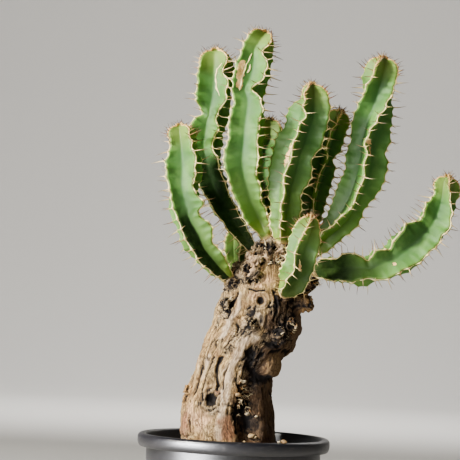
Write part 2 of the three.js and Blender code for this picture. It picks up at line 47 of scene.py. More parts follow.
# Sizes shared with the solids, in millimetres.
GAP = 0.3
POT_HEIGHT = 130
POT_RIM_RADIUS = 75
POT_BODY_RADIUS = 68
POT_BASE_RADIUS = 54
POT_WALL = 1.8
POT_FLOOR = 3
LIP_HEIGHT = 10
FOOT_RECESS = 1.4
SOIL_AT_WALL = 117
SOIL_AT_CAUDEX = 123.5
SOIL_SLOPE = (40, 64)
NECK_RADIUS = 4.8
TENON = 7
RIBS = 4
VALLEY_SHARE = 0.42
FLARE_LENGTH = 18
TIP_LENGTH = 9
TIP_SHARE = 0.3
WAVE_LENGTH = 31
WAVE_SHARE = 0.09
WAVE_START = (6, 30)
HIDDEN_WINGS = (1, 2)      # the wings behind
HIDDEN_SHARE = 0.88        # share of their reach on a stem that is turned by more than HIDDEN_TURN_DEG
HIDDEN_TURN_DEG = 29
SWAY_DEG = 7
RIPPLE_DEG = 3.2
RIPPLE_LENGTH = 16
COLLAR_EXTRA = 3.4
COLLAR_DEPTH = 13
WOOD_STARTS = (120, 140)
WOOD_ENDS = (262, 280)

# Fine sizes of the skin, the margins and the spines, in millimetres.
CURVE_STEPS = 200
RING_STEP = 0.9            # distance between two rings of a stem's skin
PROFILE_STEPS = 8          # points from a crest to the middle of the groove
PROFILE_SPREAD = 1.1       # above 1 the points crowd towards the groove's middle
FLATNESS = 0.3             # 1 for wings with flat faces
WING_HALF = 1.6            # half the thickness of a wing next to its crest
TOOTH_PITCH = 7.2          # distance between two pairs of spines
TOOTH_FIRST = 4
TOOTH_HALF = 1.5           # half length of a tooth
TOOTH_HEIGHT = 1.05        # how far a tooth stands out of the crest
TOOTH_BASE = 0.45          # share of that by which the crest between teeth lies lower
TOOTH_SPREAD = (0.78, 1.22)    # shares of the pitch between which the distances vary
TIP_CROWDING = 0.74        # share of the pitch that is lost near the tip
SCALLOP = 0.35             # depth of the hollows in a wing's face between two teeth
SCALLOP_AT = 0.78          # where they lie, 0 at the groove and 1 at the crest
SCALLOP_HALF = 0.2         # their half width, measured in the same way
FOLD_DEPTH = 0.35          # depth of the sharp fold in the middle of each groove
FOLD_HALF = 0.15           # its half width, as a share of the way to the crest
SKIN_LUMPS = [(15, 0, 0.45), (4, 20, 0.1)]     # size, seed and height
MARGIN_STEP = 0.6
MARGIN_HALF = 0.48         # half the width of the horny margin between teeth
SHIELD_HALF = 0.45         # what a tooth adds to it
MARGIN_RISE = 0.85         # how far the margin stands above the crest
MARGIN_START = 2.5         # distance from the neck at which it starts
SPINE_LENGTHS = (5.5, 10)  # shortest and longest spine
SPINE_TOP_EXTRA = 3.0      # what a stem's top adds at most
SHORT_SPINES = (0.12, 0.45)    # share of the spines that stayed short, and their share of the length
SPINE_SPREAD = (0.55, 1.35)    # least and most lean of a spine to its side
SPINE_LEAN = (-0.25, 0.4)  # least and most lean towards the tip
TIP_SPINES = 30            # spines of the tuft on a stem's end
TIP_TURN = 2.4             # radians from one of them to the next
TIP_RISE = 1.2             # how far above a stem's end the tuft stands

# Distances from the neck between which a form of the stems grows to its full size.
WING_GROWS = (0, 14)
TOOTH_GROWS = (2, 10)
MARGIN_GROWS = (2, 9)
RIPPLE_GROWS = (6, 20)
SPINE_GROWS = (0, 20)

# Rings past a stem's end: distance, and share of the size.
DOME = [(0.9, 0.8), (1.7, 0.48), (2.1, 0.15)]

# Sections of a wing's horny margin and of a raised corky line: across and out, as shares of the half width
# and of the rise.
MARGIN_PROFILE = [(-1, -0.9), (-0.95, 0.1), (-0.5, 0.85), (0, 1.05), (0.5, 0.85), (0.95, 0.1), (1, -0.9)]
CORK_PROFILE = [(1, -0.6), (0.7, 0.35), (0, 0.6), (-0.7, 0.35), (-1, -0.6), (0, -0.9)]

# Level sections of the caudex, from the root's end up: z, middle x, middle y, half width, half depth.
CAUDEX_SECTIONS = [
    (62, -2, 0, 13, 12), (90, -2, 0, 27, 25), (116, -3, 0, 36.5, 34), (128, -3, 0, 37.5, 35),
    (138, -4, 0, 37.5, 34.5), (149, -5.5, 0, 36.5, 33.5), (161, -4.5, 0, 33.5, 32),
    (173, -3, 0, 31.5, 31), (185, -1, 0, 30.5, 30.5), (192, 2.5, 0, 33, 31), (198, 6, 0, 35.5, 32),
    (207, 10.5, 0, 36, 32.5), (217, 14, 0, 35.5, 32.5), (227, 15, 0, 32.5, 31), (237, 16, 0, 30.5, 29),
    (246, 16, 0, 27.5, 26), (254, 16.5, 1, 23.5, 23), (262, 18, 2, 19, 19.5), (270, 20, 2, 15.5, 16.5),
    (277, 21, 2, 13, 14), (283, 21.5, 1, 9, 9.5),
]

# Furrows run up the wood: direction in degrees from the viewer's side, depth, half width in degrees,
# lower and upper height.
FURROWS = [
    (23, 8, 13, 122, 184), (-22, 2.5, 9, 150, 240), (-62, 2, 9, 140, 225), (70, 3, 14, 130, 190),
    (118, 4, 16, 124, 235), (170, 3.5, 14, 135, 250), (-120, 4, 16, 126, 215),
]
FURROW_START = (-8, 12)
FURROW_END = (-15, 8)
RELIEF = [(0.03, 3, 21), (0.02, 7, -9)]

# Knobs, cut stubs and healed scars: from point, to point, radius at each end, and kind of end.
KNOBS = [
    ((14, -6, 187), (30, -19, 184.5), 12, 9.8, "smooth"),
    ((40, 2, 240), (58, -1, 258), 10, 7.5, "thorny"),
    ((32, -6, 231), (56, -12, 236), 8.5, 7, "cut"),
    ((-28, -2, 154), (-39.5, -4, 157), 5, 4.2, "cut"),
    ((-28, -2, 161), (-39, -4, 164.5), 5, 4, "cut"),
    ((-4, -14, 231), (-12, -22.5, 231), 8, 5, "scar"),
    ((10, -20, 217), (8, -35, 217), 8, 5.5, "scar"),
    ((26, -14, 209), (33, -29, 209), 9, 6, "scar"),
    ((32, -10, 219), (43, -22, 219), 8, 5.5, "scar"),
    ((14, 18, 176), (22, 34, 178), 10, 7, "scar"),
    ((2, 18, 215), (-2, 34, 217), 9, 6, "scar"),
]

# Old buds on the crown of the wood: direction, height and radius.
BUDS = [
    (-74, 256, 5.5), (-44, 260, 5), (-22, 264, 5.5), (-14, 254, 5), (-56, 247, 4.5), (-32, 275, 6),
    (2, 275, 6), (-39, 268, 5), (-26, 251, 3.6), (34, 277, 5), (62, 262, 5.5), (100, 258, 6),
    (140, 262, 5.5), (178, 257, 6), (-140, 260, 5.5), (-105, 262, 5), (160, 272, 5), (-160, 272, 4.5),
    (90, 272, 5),
]

# Long dark cracks of the bark: points of direction and height, and half width in millimetres.
CRACKS = [
    ([(-61, 213), (-60, 200), (-65, 190), (-64, 175), (-68, 163)], 1.3),
    ([(-50, 205), (-52, 196), (-49, 188)], 0.6), ([(-55, 178), (-52, 168), (-56, 156)], 0.6),
    ([(-28, 191), (-26, 181), (-25, 177), (-20, 166)], 1.0), ([(-51, 161), (-54, 154)], 0.7),
    ([(-60, 145), (-57, 133)], 0.8), ([(-18, 243.5), (-6, 243), (6, 244)], 0.6),
    ([(20, 245), (24, 237), (27, 229), (22, 221)], 0.9),
    ([(6, 197), (13, 191), (22, 184), (32, 179), (45, 176), (60, 175), (80, 176)], 1.8),
    ([(20, 190), (34, 195.5), (52, 197), (74, 196)], 1.5),
    ([(12, 189), (13, 178), (10, 164), (11, 150), (9, 134)], 0.7),
    ([(-38, 241), (-43, 232), (-41, 222)], 0.8), ([(-80, 198), (-84, 184), (-81, 170)], 0.8),
    ([(-44, 205), (-42, 196), (-45, 188)], 0.5), ([(-12, 187), (-14, 177), (-11, 168)], 0.5),
    ([(-38, 190), (-40, 178), (-43, 166), (-40, 158)], 0.8), ([(52, 168), (54, 154), (50, 141)], 0.6),
    ([(68, 165), (66, 150), (70, 136)], 0.7),
    ([(-100, 222), (-104, 206), (-98, 190), (-102, 176)], 0.9),
    ([(-118, 178), (-114, 160), (-120, 142)], 0.7),
    ([(150, 226), (146, 208), (152, 190), (148, 172), (151, 158)], 0.9),
    ([(-150, 204), (-146, 188), (-151, 170), (-147, 152), (-150, 138)], 0.9),
    ([(96, 216), (92, 200), (97, 186)], 0.9), ([(-176, 200), (-172, 184), (-177, 160)], 0.8),
    ([(120, 160), (117, 146), (122, 132)], 0.7),
]

# Round knots and holes: direction, height, radius and depth.
KNOTS = [
    (-27, 158, 4.9, 4), (1, 235.5, 3.2, 3.4), (32, 211, 2.2, 2.2), (48, 217, 2.2, 2.2),
    (-14, 227, 1.8, 1.6), (-52, 233, 1.6, 2), (-20, 249, 1.8, 2), (-4, 254, 2, 2.4),
    (-44, 226, 2, 1.6), (104, 168, 4.2, 4), (-112, 186, 3.6, 3.4), (162, 205, 4.2, 4),
    (-165, 228, 3.4, 3),
]

# Crumbling bark: direction, height, half width and half height in millimetres.
CRUMBLES = [
    (-47, 233, 5, 5), (-46, 225, 6, 6), (-62, 218, 4, 8), (-10, 227, 8, 5), (-8, 218, 8, 6),
    (-20, 208, 7, 7), (-22, 198, 4, 4), (14, 192, 7, 10), (24, 170, 8, 18), (20, 188, 8, 8),
    (20, 206, 5, 7), (41, 206, 12, 5), (40, 222, 9, 4), (-22, 150, 6, 4), (-39, 250, 9, 5),
    (-60, 250, 8, 6), (-14, 254, 8, 5), (20, 232, 5, 9), (100, 205, 9, 10), (150, 188, 9, 12),
    (-130, 214, 9, 10), (-165, 232, 10, 7), (-100, 240, 8, 8), (128, 236, 8, 7), (-145, 162, 9, 10),
    (175, 150, 9, 8),
]

# Smooth wood: direction, height, half width and half height in millimetres.
SMOOTHED = [
    (-46, 142, 17, 12), (-2, 136, 8, 11), (64, 152, 13, 26), (12, 256, 12, 12), (-24, 242, 10, 9),
    (-30, 228, 6, 9), (4, 239, 12, 6), (-46, 176, 6, 22), (-130, 150, 12, 12), (160, 146, 14, 10),
]

# Pale smooth wood: points of direction and height, and half width in millimetres.
BLEACHED = [
    ([(-34, 240), (-32, 230), (-38, 220), (-41, 208)], 1.7),
    ([(-5, 204), (-6, 192), (-8, 180), (-6, 159), (-9, 146), (-14, 132)], 3.4),
    ([(-14, 216), (-16, 214)], 1.8),
    ([(-2, 224), (5, 219)], 2.2),
    ([(-3, 210), (7, 205)], 3.4),
    ([(-50, 190), (-48, 176)], 2.2),
    ([(-130, 190), (-132, 150)], 4),
    ([(170, 178), (164, 136)], 4),
]

# Reddish brown wood, peach-coloured wood, and black spots, which are dark knot holes and painted shade in
# the trunk's groove, round the lobe and between the stems' necks: direction, height, half width and half
# height.
RUSTY = [
    (-2, 136, 7.5, 11), (-72, 138, 9, 12), (-19, 164, 3, 2), (62, 134, 6, 9), (-150, 135, 9, 9),
    (110, 136, 8, 9),
]
PEACHY = [
    (-42, 142, 12, 8), (-62, 146, 7, 12), (-12, 240, 6, 5), (-8, 248, 6, 3), (8, 252, 6, 4),
    (-30, 257, 6, 4), (-13, 264, 6, 4), (24, 272, 14, 7), (-37, 267, 9, 6), (-18, 218, 3, 2.5),
    (-120, 150, 8, 9), (150, 150, 8, 8),
]
BLACK_AND_SHADED = [
    (28, 143, 11, 7), (23, 159, 5, 12), (48, 174, 11, 3), (26, 236, 3, 6), (-52, 233, 3, 2),
    (32, 211, 2, 2), (48, 217, 2, 2), (5, 221, 1.6, 4), (1, 235.5, 2.6, 2.6), (36, 201, 6, 3),
    (-27, 158, 3, 2.6), (-36, 281, 5, 3), (4, 278, 6, 3), (22, 266, 6, 2),
]

# Where the side of the wood away from the light starts, painted dark brown as painted shade and as the
# bark's darker tone: height and direction.
SHADED_SIDE = [
    (118, 7), (140, 9), (160, 10), (178, 14), (190, 8), (201, 16), (210, 18), (219, 9), (227, 13),
    (236, 22), (250, 34), (262, 60),
]


def smoothstep(value, low, high):
    share = np.clip((value - low) / (high - low), 0, 1)
    return share * share * (3 - 2 * share)


def draw(n):
    """A repeatable draw between 0 and 1 for whole number n."""
    value = math.sin(n * 12.9898 + 4.1414) * 43758.5453
    return value - math.floor(value)


def unit(vectors):
    return vectors / np.linalg.norm(vectors, axis=-1, keepdims=True)


def gauss(value):
    return np.exp(-value ** 2)


def grain(points, size, seed, octaves=1):
    """Smooth noise round zero at points, with lumps of about a size in millimetres."""
    shift = Vector((seed, -seed, 2 * seed))
    values = np.zeros(len(points))
    for octave in range(octaves):
        scale = 2 ** octave / size
        values += [noise.noise(Vector(p) * scale + shift) / 2 ** octave for p in points]
    return values


def lumps(points, layers, seed=0):
    """How high lumpy ground is at points, from layers of size, seed and height."""
    return sum(height * grain(points, size, seed + layer) for size, layer, height in layers)


def linked(name, data):
    """A new object with its data, in the scene."""
    made = bpy.data.objects.new(name, data)
    bpy.context.scene.collection.objects.link(made)
    return made


def plain_mesh(piece):
    """The mesh of a piece with its modifiers used up."""
    evaluated = piece.evaluated_get(bpy.context.evaluated_depsgraph_get())
    return bpy.data.meshes.new_from_object(evaluated)


def name_values(mesh, values):
    """Gives a mesh its named values, one for each point."""
    for key, value in values.items():
        data = mesh.attributes.new(key, "FLOAT", "POINT").data
        data.foreach_set("value", np.asarray(value, np.float32))


def run_along(path):
    """Distance of each point of a path from its start, measured along the path."""
    return np.concatenate([[0], np.cumsum(np.linalg.norm(np.diff(path, axis=0), axis=1))])


def mesh_piece(name, points, faces, finish, values=None):
    """An object from points in millimetres, with its finish and its named values for each point."""
    mesh = bpy.data.meshes.new(name)
    mesh.from_pydata((np.asarray(points) * MM).tolist(), [], faces)
    name_values(mesh, values or {})
    mesh.polygons.foreach_set("use_smooth", [True] * len(mesh.polygons))
    mesh.materials.append(finish)
    mesh.update()
    return linked(name, mesh)


def circle_of(sides):
    """Points of a level circle of radius 1."""
    angle = np.arange(sides) / sides * 2 * math.pi
    return np.stack([np.cos(angle), np.sin(angle), np.zeros(sides)], axis=1)


def tube(rings, closed_ends=True):
    """Points and faces of a skin through rings of equally many points. The faces point outwards, and a
    closed end is a fan."""
    rings = np.asarray(rings)
    count, sides = rings.shape[:2]
    points = rings.reshape(-1, 3)
    here = np.arange(sides)
    there = (here + 1) % sides
    faces = []
    for i in range(count - 1):
        low, high = i * sides, (i + 1) * sides
        faces += np.stack([low + here, low + there, high + there, high + here], axis=1).tolist()
    if closed_ends:
        first, last = len(points), len(points) + 1
        points = np.vstack([points, rings[0].mean(0), rings[-1].mean(0)])
        faces += [[first, int(b), int(a)] for a, b in zip(here, there)]
        top = (count - 1) * sides
        faces += [[last, top + int(a), top + int(b)] for a, b in zip(here, there)]
    return points, outward(points, faces)


def outward(points, faces):
    """Faces with their order turned round where the closed skin is inside out."""
    corners = np.array([face[:3] for face in faces])
    a, b, c = (points[corners[:, k]] - points.mean(0) for k in range(3))
    is_inward = np.einsum("ij,ij->", a, np.cross(b, c)) < 0
    return [face[::-1] for face in faces] if is_inward else faces


def joined(parts):
    """Points, faces and named values of several skins as one."""
    points, faces, values, first = [], [], {}, 0
    for part_points, part_faces, part_values in parts:
        points.append(part_points)
        faces += [[corner + first for corner in face] for face in part_faces]
        for key, value in part_values.items():
            values.setdefault(key, []).append(value)
        first += len(part_points)
    return np.vstack(points), faces, {key: np.concatenate(value) for key, value in values.items()}


class Stem:
    """Places, directions and wing sizes along one stem, at distances from its neck."""

    def __init__(self, name, points, dents=()):
        self.name, self.dents = name, dents
        self.points = np.array(points, float)
        before = 2 * self.points[0] - self.points[1]
        after = 2 * self.points[-1] - self.points[-2]
        self.knots = np.vstack([before, self.points, after])[:, :3]
        self.shares = np.linspace(0, 1, CURVE_STEPS + 1)
        self.run = run_along(self.curve(self.shares)[0])
        self.length = self.run[-1]

    def curve(self, shares):
        """Points and directions of a uniform Catmull-Rom curve."""
        place = shares * (len(self.points) - 1)
        i = np.minimum(place.astype(int), len(self.points) - 2)
        part = (place - i)[:, None]
        p0, p1, p2, p3 = (self.knots[i + k] for k in range(4))
        m1, m2 = (p2 - p0) / 2, (p3 - p1) / 2
        cubic = 2 * p1 - 2 * p2 + m1 + m2
        square = 3 * p2 - 3 * p1 - 2 * m1 - m2
        point = p1 + part * (m1 + part * (square + part * cubic))
        return point, m1 + part * (2 * square + 3 * part * cubic)

    def column(self, along, which):
        """Value of a column of the points, a little rounded off where it bends."""
        last = len(self.points) - 1
        total = 0
        for shift in (-3, 0, 3):
            share = np.interp(along + shift, self.run, self.shares)
            total += np.interp(share * last, np.arange(last + 1), self.points[:, which])
        return total / 3

    def frame(self, along):
        """Middle point, direction, viewer's side and right side at each distance."""
        point, tangent = self.curve(np.interp(along, self.run, self.shares))
        tangent = unit(tangent)
        point = point + tangent * (along - np.clip(along, 0, self.length))[:, None]
        viewer = np.array([0.0, -1.0, 0.0])
        front = unit(viewer - tangent * (tangent @ viewer)[:, None])
        return point, tangent, front, np.cross(tangent, front)

    def tip_share(self, along):
        past = np.clip((along - (self.length - TIP_LENGTH)) / TIP_LENGTH, 0, 1)
        return TIP_SHARE + (1 - TIP_SHARE) * np.sqrt(1 - past ** 2)

    def waves(self, along, rib):
        has_dents = any(dent[0] == rib for dent in self.dents)
        return np.zeros(len(along)) if has_dents else smoothstep(along, *WAVE_START)

    def reach(self, along, rib):
        phase = 2 * math.pi * draw(10 * self.index + rib)
        wave = WAVE_SHARE * np.sin(2 * math.pi * along / WAVE_LENGTH + phase)
        reach = self.column(along, 3) * (1 + self.waves(along, rib) * wave)
        for wing, at, depth, _, half in self.dents:
            if wing == rib:
                reach = reach * (1 - depth * gauss((along - at) / half))
        if rib in HIDDEN_WINGS and self.points[:, 4].min() > HIDDEN_TURN_DEG:
            reach = reach * HIDDEN_SHARE
        return reach * self.tip_share(along)

    def crest(self, along, rib):
        """Reach of a wing with its teeth."""
        grown = smoothstep(along, *TOOTH_GROWS)
        return self.reach(along, rib) + grown * TOOTH_HEIGHT * (self.tooth(along, rib) - TOOTH_BASE)

    def direction(self, along, rib, rippled=1):
        """Unit vectors along which a wing stands out, with or without the ripple of its edge."""
        phase = 2 * math.pi * draw(10 * self.index + rib % RIBS + 5)
        sway = SWAY_DEG * np.sin(2 * math.pi * along / (1.3 * WAVE_LENGTH) + phase)
        drift = 3 * np.sin(along / 19) + 2 * phase
        ripple = RIPPLE_DEG * np.sin(2 * math.pi * along / RIPPLE_LENGTH + drift)
        turn = self.column(along, 4) + rib * 360 / RIBS + self.waves(along, rib % RIBS) * sway
        turn = turn + rippled * ripple * smoothstep(along, *RIPPLE_GROWS)
        for wing, at, _, dent_turn, half in self.dents:
            if wing == rib % RIBS:
                turn = turn + dent_turn * gauss((along - at) / half)
        _, _, front, side = self.frame(along)
        angle = np.radians(turn)[:, None]
        return front * np.cos(angle) + side * np.sin(angle)

    def valley(self, along):
        share = VALLEY_SHARE + (1 - VALLEY_SHARE) * (1 - smoothstep(along, 0, FLARE_LENGTH))
        return self.column(along, 3) * share * self.tip_share(along)

    def teeth(self, rib):
        """Distances of a wing's pairs of spines, closer together near the tip."""
        rng = np.random.default_rng([SEED, self.index, rib])
        places = [TOOTH_FIRST + 3 * rng.random()]
        while places[-1] < self.length - 1.5:
            near_tip = smoothstep(places[-1], self.length - 22, self.length - 4)
            pitch = TOOTH_PITCH * (1 - TIP_CROWDING * near_tip)
            places.append(places[-1] + pitch * rng.uniform(*TOOTH_SPREAD))
        return np.array([place for place in places if place < self.length + 0.5])

    def tooth(self, along, rib):
        """1 at a pair of spines and 0 between."""
        away = along[:, None] - self.teeth(rib % RIBS)[None, :]
        return gauss(away / TOOTH_HALF).max(1)


# The stems. Points are x, y, z, reach of the wings, and turn of wing 0 in degrees from the viewer's side.
# Dents are wing, distance from the neck, depth as a share of the reach, turn in degrees, and half length.
STEMS = [
    Stem("left", [
        (-8, -6, 251, 4.8, 50), (-24, -14, 266, 12.5, 58), (-36, -18, 283, 14, 60),
        (-45, -20, 302, 15.5, 53), (-47.5, -22, 320, 16.7, 39), (-47, -22, 338, 17.8, 31),
        (-49.4, -21, 354, 13.7, 30), (-51.6, -20, 368, 12.1, 30),
    ], [
        (0, 88, 0.22, 0, 8), (0, 71, -0.3, 0, 5), (0, 60, 0.22, 0, 6), (0, 46, -0.15, 0, 6),
        (0, 33, 0.2, 0, 6), (3, 74, 0.25, 0, 18), (3, 119, 0.22, 0, 10), (3, 34, -0.15, 0, 9),
    ]),
    Stem("left_back", [
        (11, 6, 274, 4.8, 45), (-3, 8, 291, 9, 45), (-14, 12, 307, 11, 45), (-24, 15, 326, 13.1, 40),
        (-30, 16, 346, 14.3, 34), (-30.6, 15, 370, 16.4, 32), (-26.4, 13, 393, 17.4, 31),
        (-25.4, 11, 414, 17.4, 31), (-26.8, 9, 433, 14.3, 31),
    ], [
        (0, 156, 0.42, 0, 5.5), (0, 122, 0.5, 0, 8), (0, 97, 0.5, 0, 8), (3, 121, 0.5, 0, 6),
    ]),
    Stem("tall", [
        (20, -1, 284, 4.8, 44), (13, -4, 300, 10, 39), (4.8, -12, 318, 14.3, 35),
        (-0.5, -18, 340, 18.4, 33), (-0.4, -21, 359, 17.9, 33), (0.7, -22, 379, 18.4, 33),
        (1.6, -21, 395, 17.9, 33), (3.5, -20, 413, 17.4, 33), (6.3, -18, 431, 15.8, 33),
        (11.8, -16, 444, 12.2, 33),
    ], [
        (0, 121, 0.5, -26, 6), (0, 152, 0.4, -10, 6), (0, 90, 0.15, 0, 7), (0, 54, 0.15, 0, 8),
        (0, 33, 0.15, 0, 8), (3, 155, 0.15, 0, 14), (3, 108, 0.22, 0, 9), (3, 86, 0.12, 0, 8),
        (3, 20, -0.3, 0, 9), (1, 116, 0.22, 0, 16),
    ]),
    Stem("centre", [
        (31, -10, 281, 4.8, -10), (31, -15, 297, 11, -10), (32, -19, 314, 15, -8),
        (35, -21, 334, 16.5, -13), (40, -22, 353, 19, -12), (44, -23, 369, 17, -18),
        (48, -24, 386, 17, -22), (49, -25, 404, 11, -20),
    ], [
        (3, 92, 0.12, 0, 6), (3, 119, 0.5, 0, 9), (3, 28, 0.25, 0, 12), (0, 100, 0.1, 12, 8),
        (1, 71, 0.2, -18, 9), (1, 40, 0.2, -18, 8),
    ]),
    Stem("centre_back", [
        (23, 13, 275, 4.8, 30), (20, 19, 299, 10, 35), (16, 22, 325, 12.5, 40), (16, 24, 353, 13, 45),
        (18, 24, 368, 13, 45), (19, 24, 381, 12, 45),
    ], [
        (0, 84, 0.4, 0, 5),
    ]),
    Stem("right_back", [
        (45, 12, 272, 4.8, 0), (52, 16, 298, 8.5, 0), (56, 18, 318, 9.5, 0), (60, 20, 337, 10.5, 0),
        (65, 21, 359, 11, 0), (70, 22, 377, 10.5, 0), (75, 22, 390, 9, 0),
    ], [
        (1, 84, 0.4, 0, 5),
    ]),
    Stem("right", [
        (54, 0, 273, 4.8, -25), (65, -1, 286, 10, -30), (78, -3, 301, 13, -12), (86, -4, 318, 15, 5),
        (93, -5, 338, 17, -3), (96, -5, 357, 16.5, -8), (98, -5, 375, 16, 0), (101, -5, 394, 15, 30),
        (103, -5, 413, 14.5, 60), (105, -5, 430, 12, 78),
    ], [
        (1, 97, 0.2, 0, 5), (1, 52, 0.25, 0, 12), (1, 28, 0.2, 0, 8), (1, 116, 0.1, 0, 6),
        (3, 103, 0.12, 0, 8), (3, 76, 0.14, 0, 10), (0, 103, 0.1, -10, 6),
    ]),
    Stem("low_right", [
        (56, -5, 260, 4.8, 45), (67, -9, 263, 12, 45), (81, -12, 264, 15, 45), (102, -14, 266, 17, 45),
        (122, -14, 276, 18, 45), (138, -12, 290, 19, 45), (151, -10, 309, 15, 40),
        (157, -8, 325, 10.5, 12), (159, -7, 338, 9, 0),
    ], [
        (3, 19, 0.28, 0, 7), (3, 45, 0.6, 0, 6.5), (3, 65, 0.42, 0, 6.5), (3, 85, -0.14, 0, 6),
        (3, 103, 0.35, 0, 6), (3, 128, 0.25, 0, 8), (2, 20, 0.25, 0, 8), (2, 44, 0.35, 0, 9),
        (2, 64, 0.2, 0, 8), (2, 103, 0.3, 0, 7), (0, 43, 0.2, 0, 7), (0, 110, -0.2, 0, 8),
    ]),
    Stem("front", [
        (34, -20, 242, 4.8, -20), (39, -31, 251, 12, -20), (43, -39, 265, 13, -15),
        (46, -43, 277, 13, -22), (50, -44, 289, 11.5, -8), (51, -44, 300, 8, 0),
    ], [
        (3, 33, 0.22, 0, 12), (1, 62, 0.3, 0, 9),
    ]),
    Stem("small_back", [
        (0, 15, 256, 4.8, 25), (-4, 24, 268, 8.5, 22), (-5, 28, 281, 8.5, 20), (-4, 30, 293, 7, 20),
    ]),
]

# Painted shade on the stems, deep green in the skin's colour where shade falls: stem, groove (the wing
# before it), its half before and after the fold (1 where painted, 0 where not), from and to which
# distance from the neck, and strength.
PAINTED_SHADE_PARTS = [
    ("left", 3, (1, 0), -20, 76, 0.9), ("left_back", 3, (1, 1), -20, 96, 0.85),
    ("left_back", 0, (1, 1), -20, 90, 0.6), ("front", 0, (1, 1), -20, 52, 0.6),
    ("low_right", 3, (1, 1), -20, 44, 0.85), ("low_right", 3, (1, 0), 30, 112, 0.3),
    ("centre", 0, (1, 0), 20, 150, 0.25), ("right", 3, (1, 0), -20, 40, 0.3),
    ("right", 3, (0, 1), -20, 56, 0.35), ("left_back", 2, (1, 1), -20, 60, 0.6),
    ("small_back", 3, (1, 1), -20, 50, 0.3),
]
PAINTED_SHADE_FADE = 20


def painted_shade_in(stem, groove, is_after, along):
    """How much painted shade, as deep green, the skin has in one half of a groove."""
    deep = np.zeros(len(along))
    for name, which, halves, start, end, strength in PAINTED_SHADE_PARTS:
        if name == stem.name and which == groove:
            part = smoothstep(along, start, start + PAINTED_SHADE_FADE)
            part = part * (1 - smoothstep(along, end - PAINTED_SHADE_FADE, end))
            deep = np.maximum(deep, part * halves[is_after] * strength)
    return deep


def flesh_rings(stem):
    """Rings of a stem's skin with the named values of their points."""
    dome, dome_cover = np.array(DOME).T
    below = np.arange(-TENON + 1, stem.length, RING_STEP)
    along = np.concatenate([below, [stem.length], stem.length + dome])
    cover = np.append(np.ones(len(below) + 1), dome_cover)
    place, _, _, _ = stem.frame(along)
    capped = np.minimum(along, stem.length)
    grown = smoothstep(along, *WING_GROWS)
    shares = stem.tip_share(capped)
    half = WING_HALF * grown * shares * cover
    flat = FLATNESS * (1 + 0.9 * np.sin(along / 17 + 2 * stem.index))
    points, rims, painted_shades = [], [], []
    for rib in range(RIBS):
        here, there = stem.direction(capped, rib), stem.direction(capped, rib + 1)
        calm_here, calm_there = stem.direction(capped, rib, 0), stem.direction(capped, rib + 1, 0)
        far_here = stem.crest(capped, rib) * cover
        far_there = stem.crest(capped, (rib + 1) % RIBS) * cover
        valley = stem.valley(capped) * cover
        bow_here = SCALLOP * grown * shares * (stem.tooth(capped, rib) - 0.4)
        bow_there = SCALLOP * grown * shares * (stem.tooth(capped, rib + 1) - 0.4)
        mean = (far_here + far_there) / 2
        middle = np.clip((valley / math.sqrt(2) - half) / (mean - half), 0.04, 0.7071)
        power = -2 * np.log2(middle)
        points.append(place + here * (far_here + 0.3 * half)[:, None])
        rims.append(np.ones(len(along)))
        painted_shades.append(painted_shade_in(stem, rib, False, along))
        for step in range(2 * PROFILE_STEPS + 1):
            is_after = step > PROFILE_STEPS
            share = abs(step - PROFILE_STEPS) / PROFILE_STEPS
            out = middle + (1 - middle) * share ** PROFILE_SPREAD
            angle = np.arccos(np.clip(out ** (1 / power), 0, 1))
            low = np.sin(angle) ** power
            low = low + (middle * (1 - out) / (1 - middle) - low) * flat
            near, far = (low, out) if is_after else (out, low)
            face_here = bow_here * gauss((near - SCALLOP_AT) / SCALLOP_HALF)
            face_there = bow_there * gauss((far - SCALLOP_AT) / SCALLOP_HALF)
            fold = FOLD_DEPTH * gauss(share / FOLD_HALF) * grown * shares * cover
            x = half + (far_here - half) * near + face_there - fold
            y = half + (far_there - half) * far + face_here - fold
            side_here = calm_here + (here - calm_here) * (near ** 2)[:, None]
            side_there = calm_there + (there - calm_there) * (far ** 2)[:, None]
            points.append(place + side_here * x[:, None] + side_there * y[:, None])
            rims.append(np.maximum(near, far))
            painted_shades.append(painted_shade_in(stem, rib, is_after, along))
    rings = np.stack(points, axis=1)
    sides = rings.shape[1]
    skin = rings.reshape(-1, 3)
    away = unit(skin - np.repeat(place, sides, axis=0) + 1e-6)
    rise = lumps(skin, SKIN_LUMPS, stem.index) * np.repeat(grown * shares, sides)
    rings = (skin + away * rise[:, None]).reshape(rings.shape)
    age = np.repeat(along, sides)
    to_tip = np.repeat(stem.length - along, sides)
    rim, deep = (np.stack(values, axis=1).ravel() for values in (rims, painted_shades))
    return rings, {"rim": rim, "deep": deep, "age": age, "to_tip": to_tip}


def make_flesh(stem, finish):
    """The green skin of one stem."""
    rings, values = flesh_rings(stem)
    points, faces = tube(rings)
    values = {key: np.append(value, [value[0], value[-1]]) for key, value in values.items()}
    values["cork"] = cork_of(points, values["age"], stem)
    return mesh_piece(f"flesh_{stem.name}", points, faces, finish, values)


# Corky scars on the stems: stem, points of x and z, half width, side (-1 in front and 1 behind), and hue
# (1 tan and 2 cream).
CORK_SCARS = [
    ("tall", [(-5.5, 419), (-6.5, 411), (-6.8, 401)], 2.3, -1, 1),
    ("centre", [(36.5, 358), (33, 350), (31, 342)], 1.1, -1, 1),
    ("right", [(94, 365), (95, 362)], 1.5, -1, 1), ("right", [(97, 358), (97, 353)], 1.3, -1, 1),
    ("low_right", [(118, 268), (116, 267)], 1.1, -1, 1), ("front", [(44, 264), (44.4, 260)], 0.8, -1, 1),
    ("left", [(-49, 331), (-48, 328)], 1.0, 1, 1), ("tall", [(2, 352), (0, 338)], 1.3, 1, 1),
    ("centre_back", [(17, 344), (18, 334)], 1.4, 1, 2), ("right", [(97, 392), (99, 380)], 0.8, 1, 2),
    ("left_back", [(-28, 362), (-31, 350)], 1.6, 1, 1), ("low_right", [(92, 268), (101, 270)], 1.2, 1, 1),
]

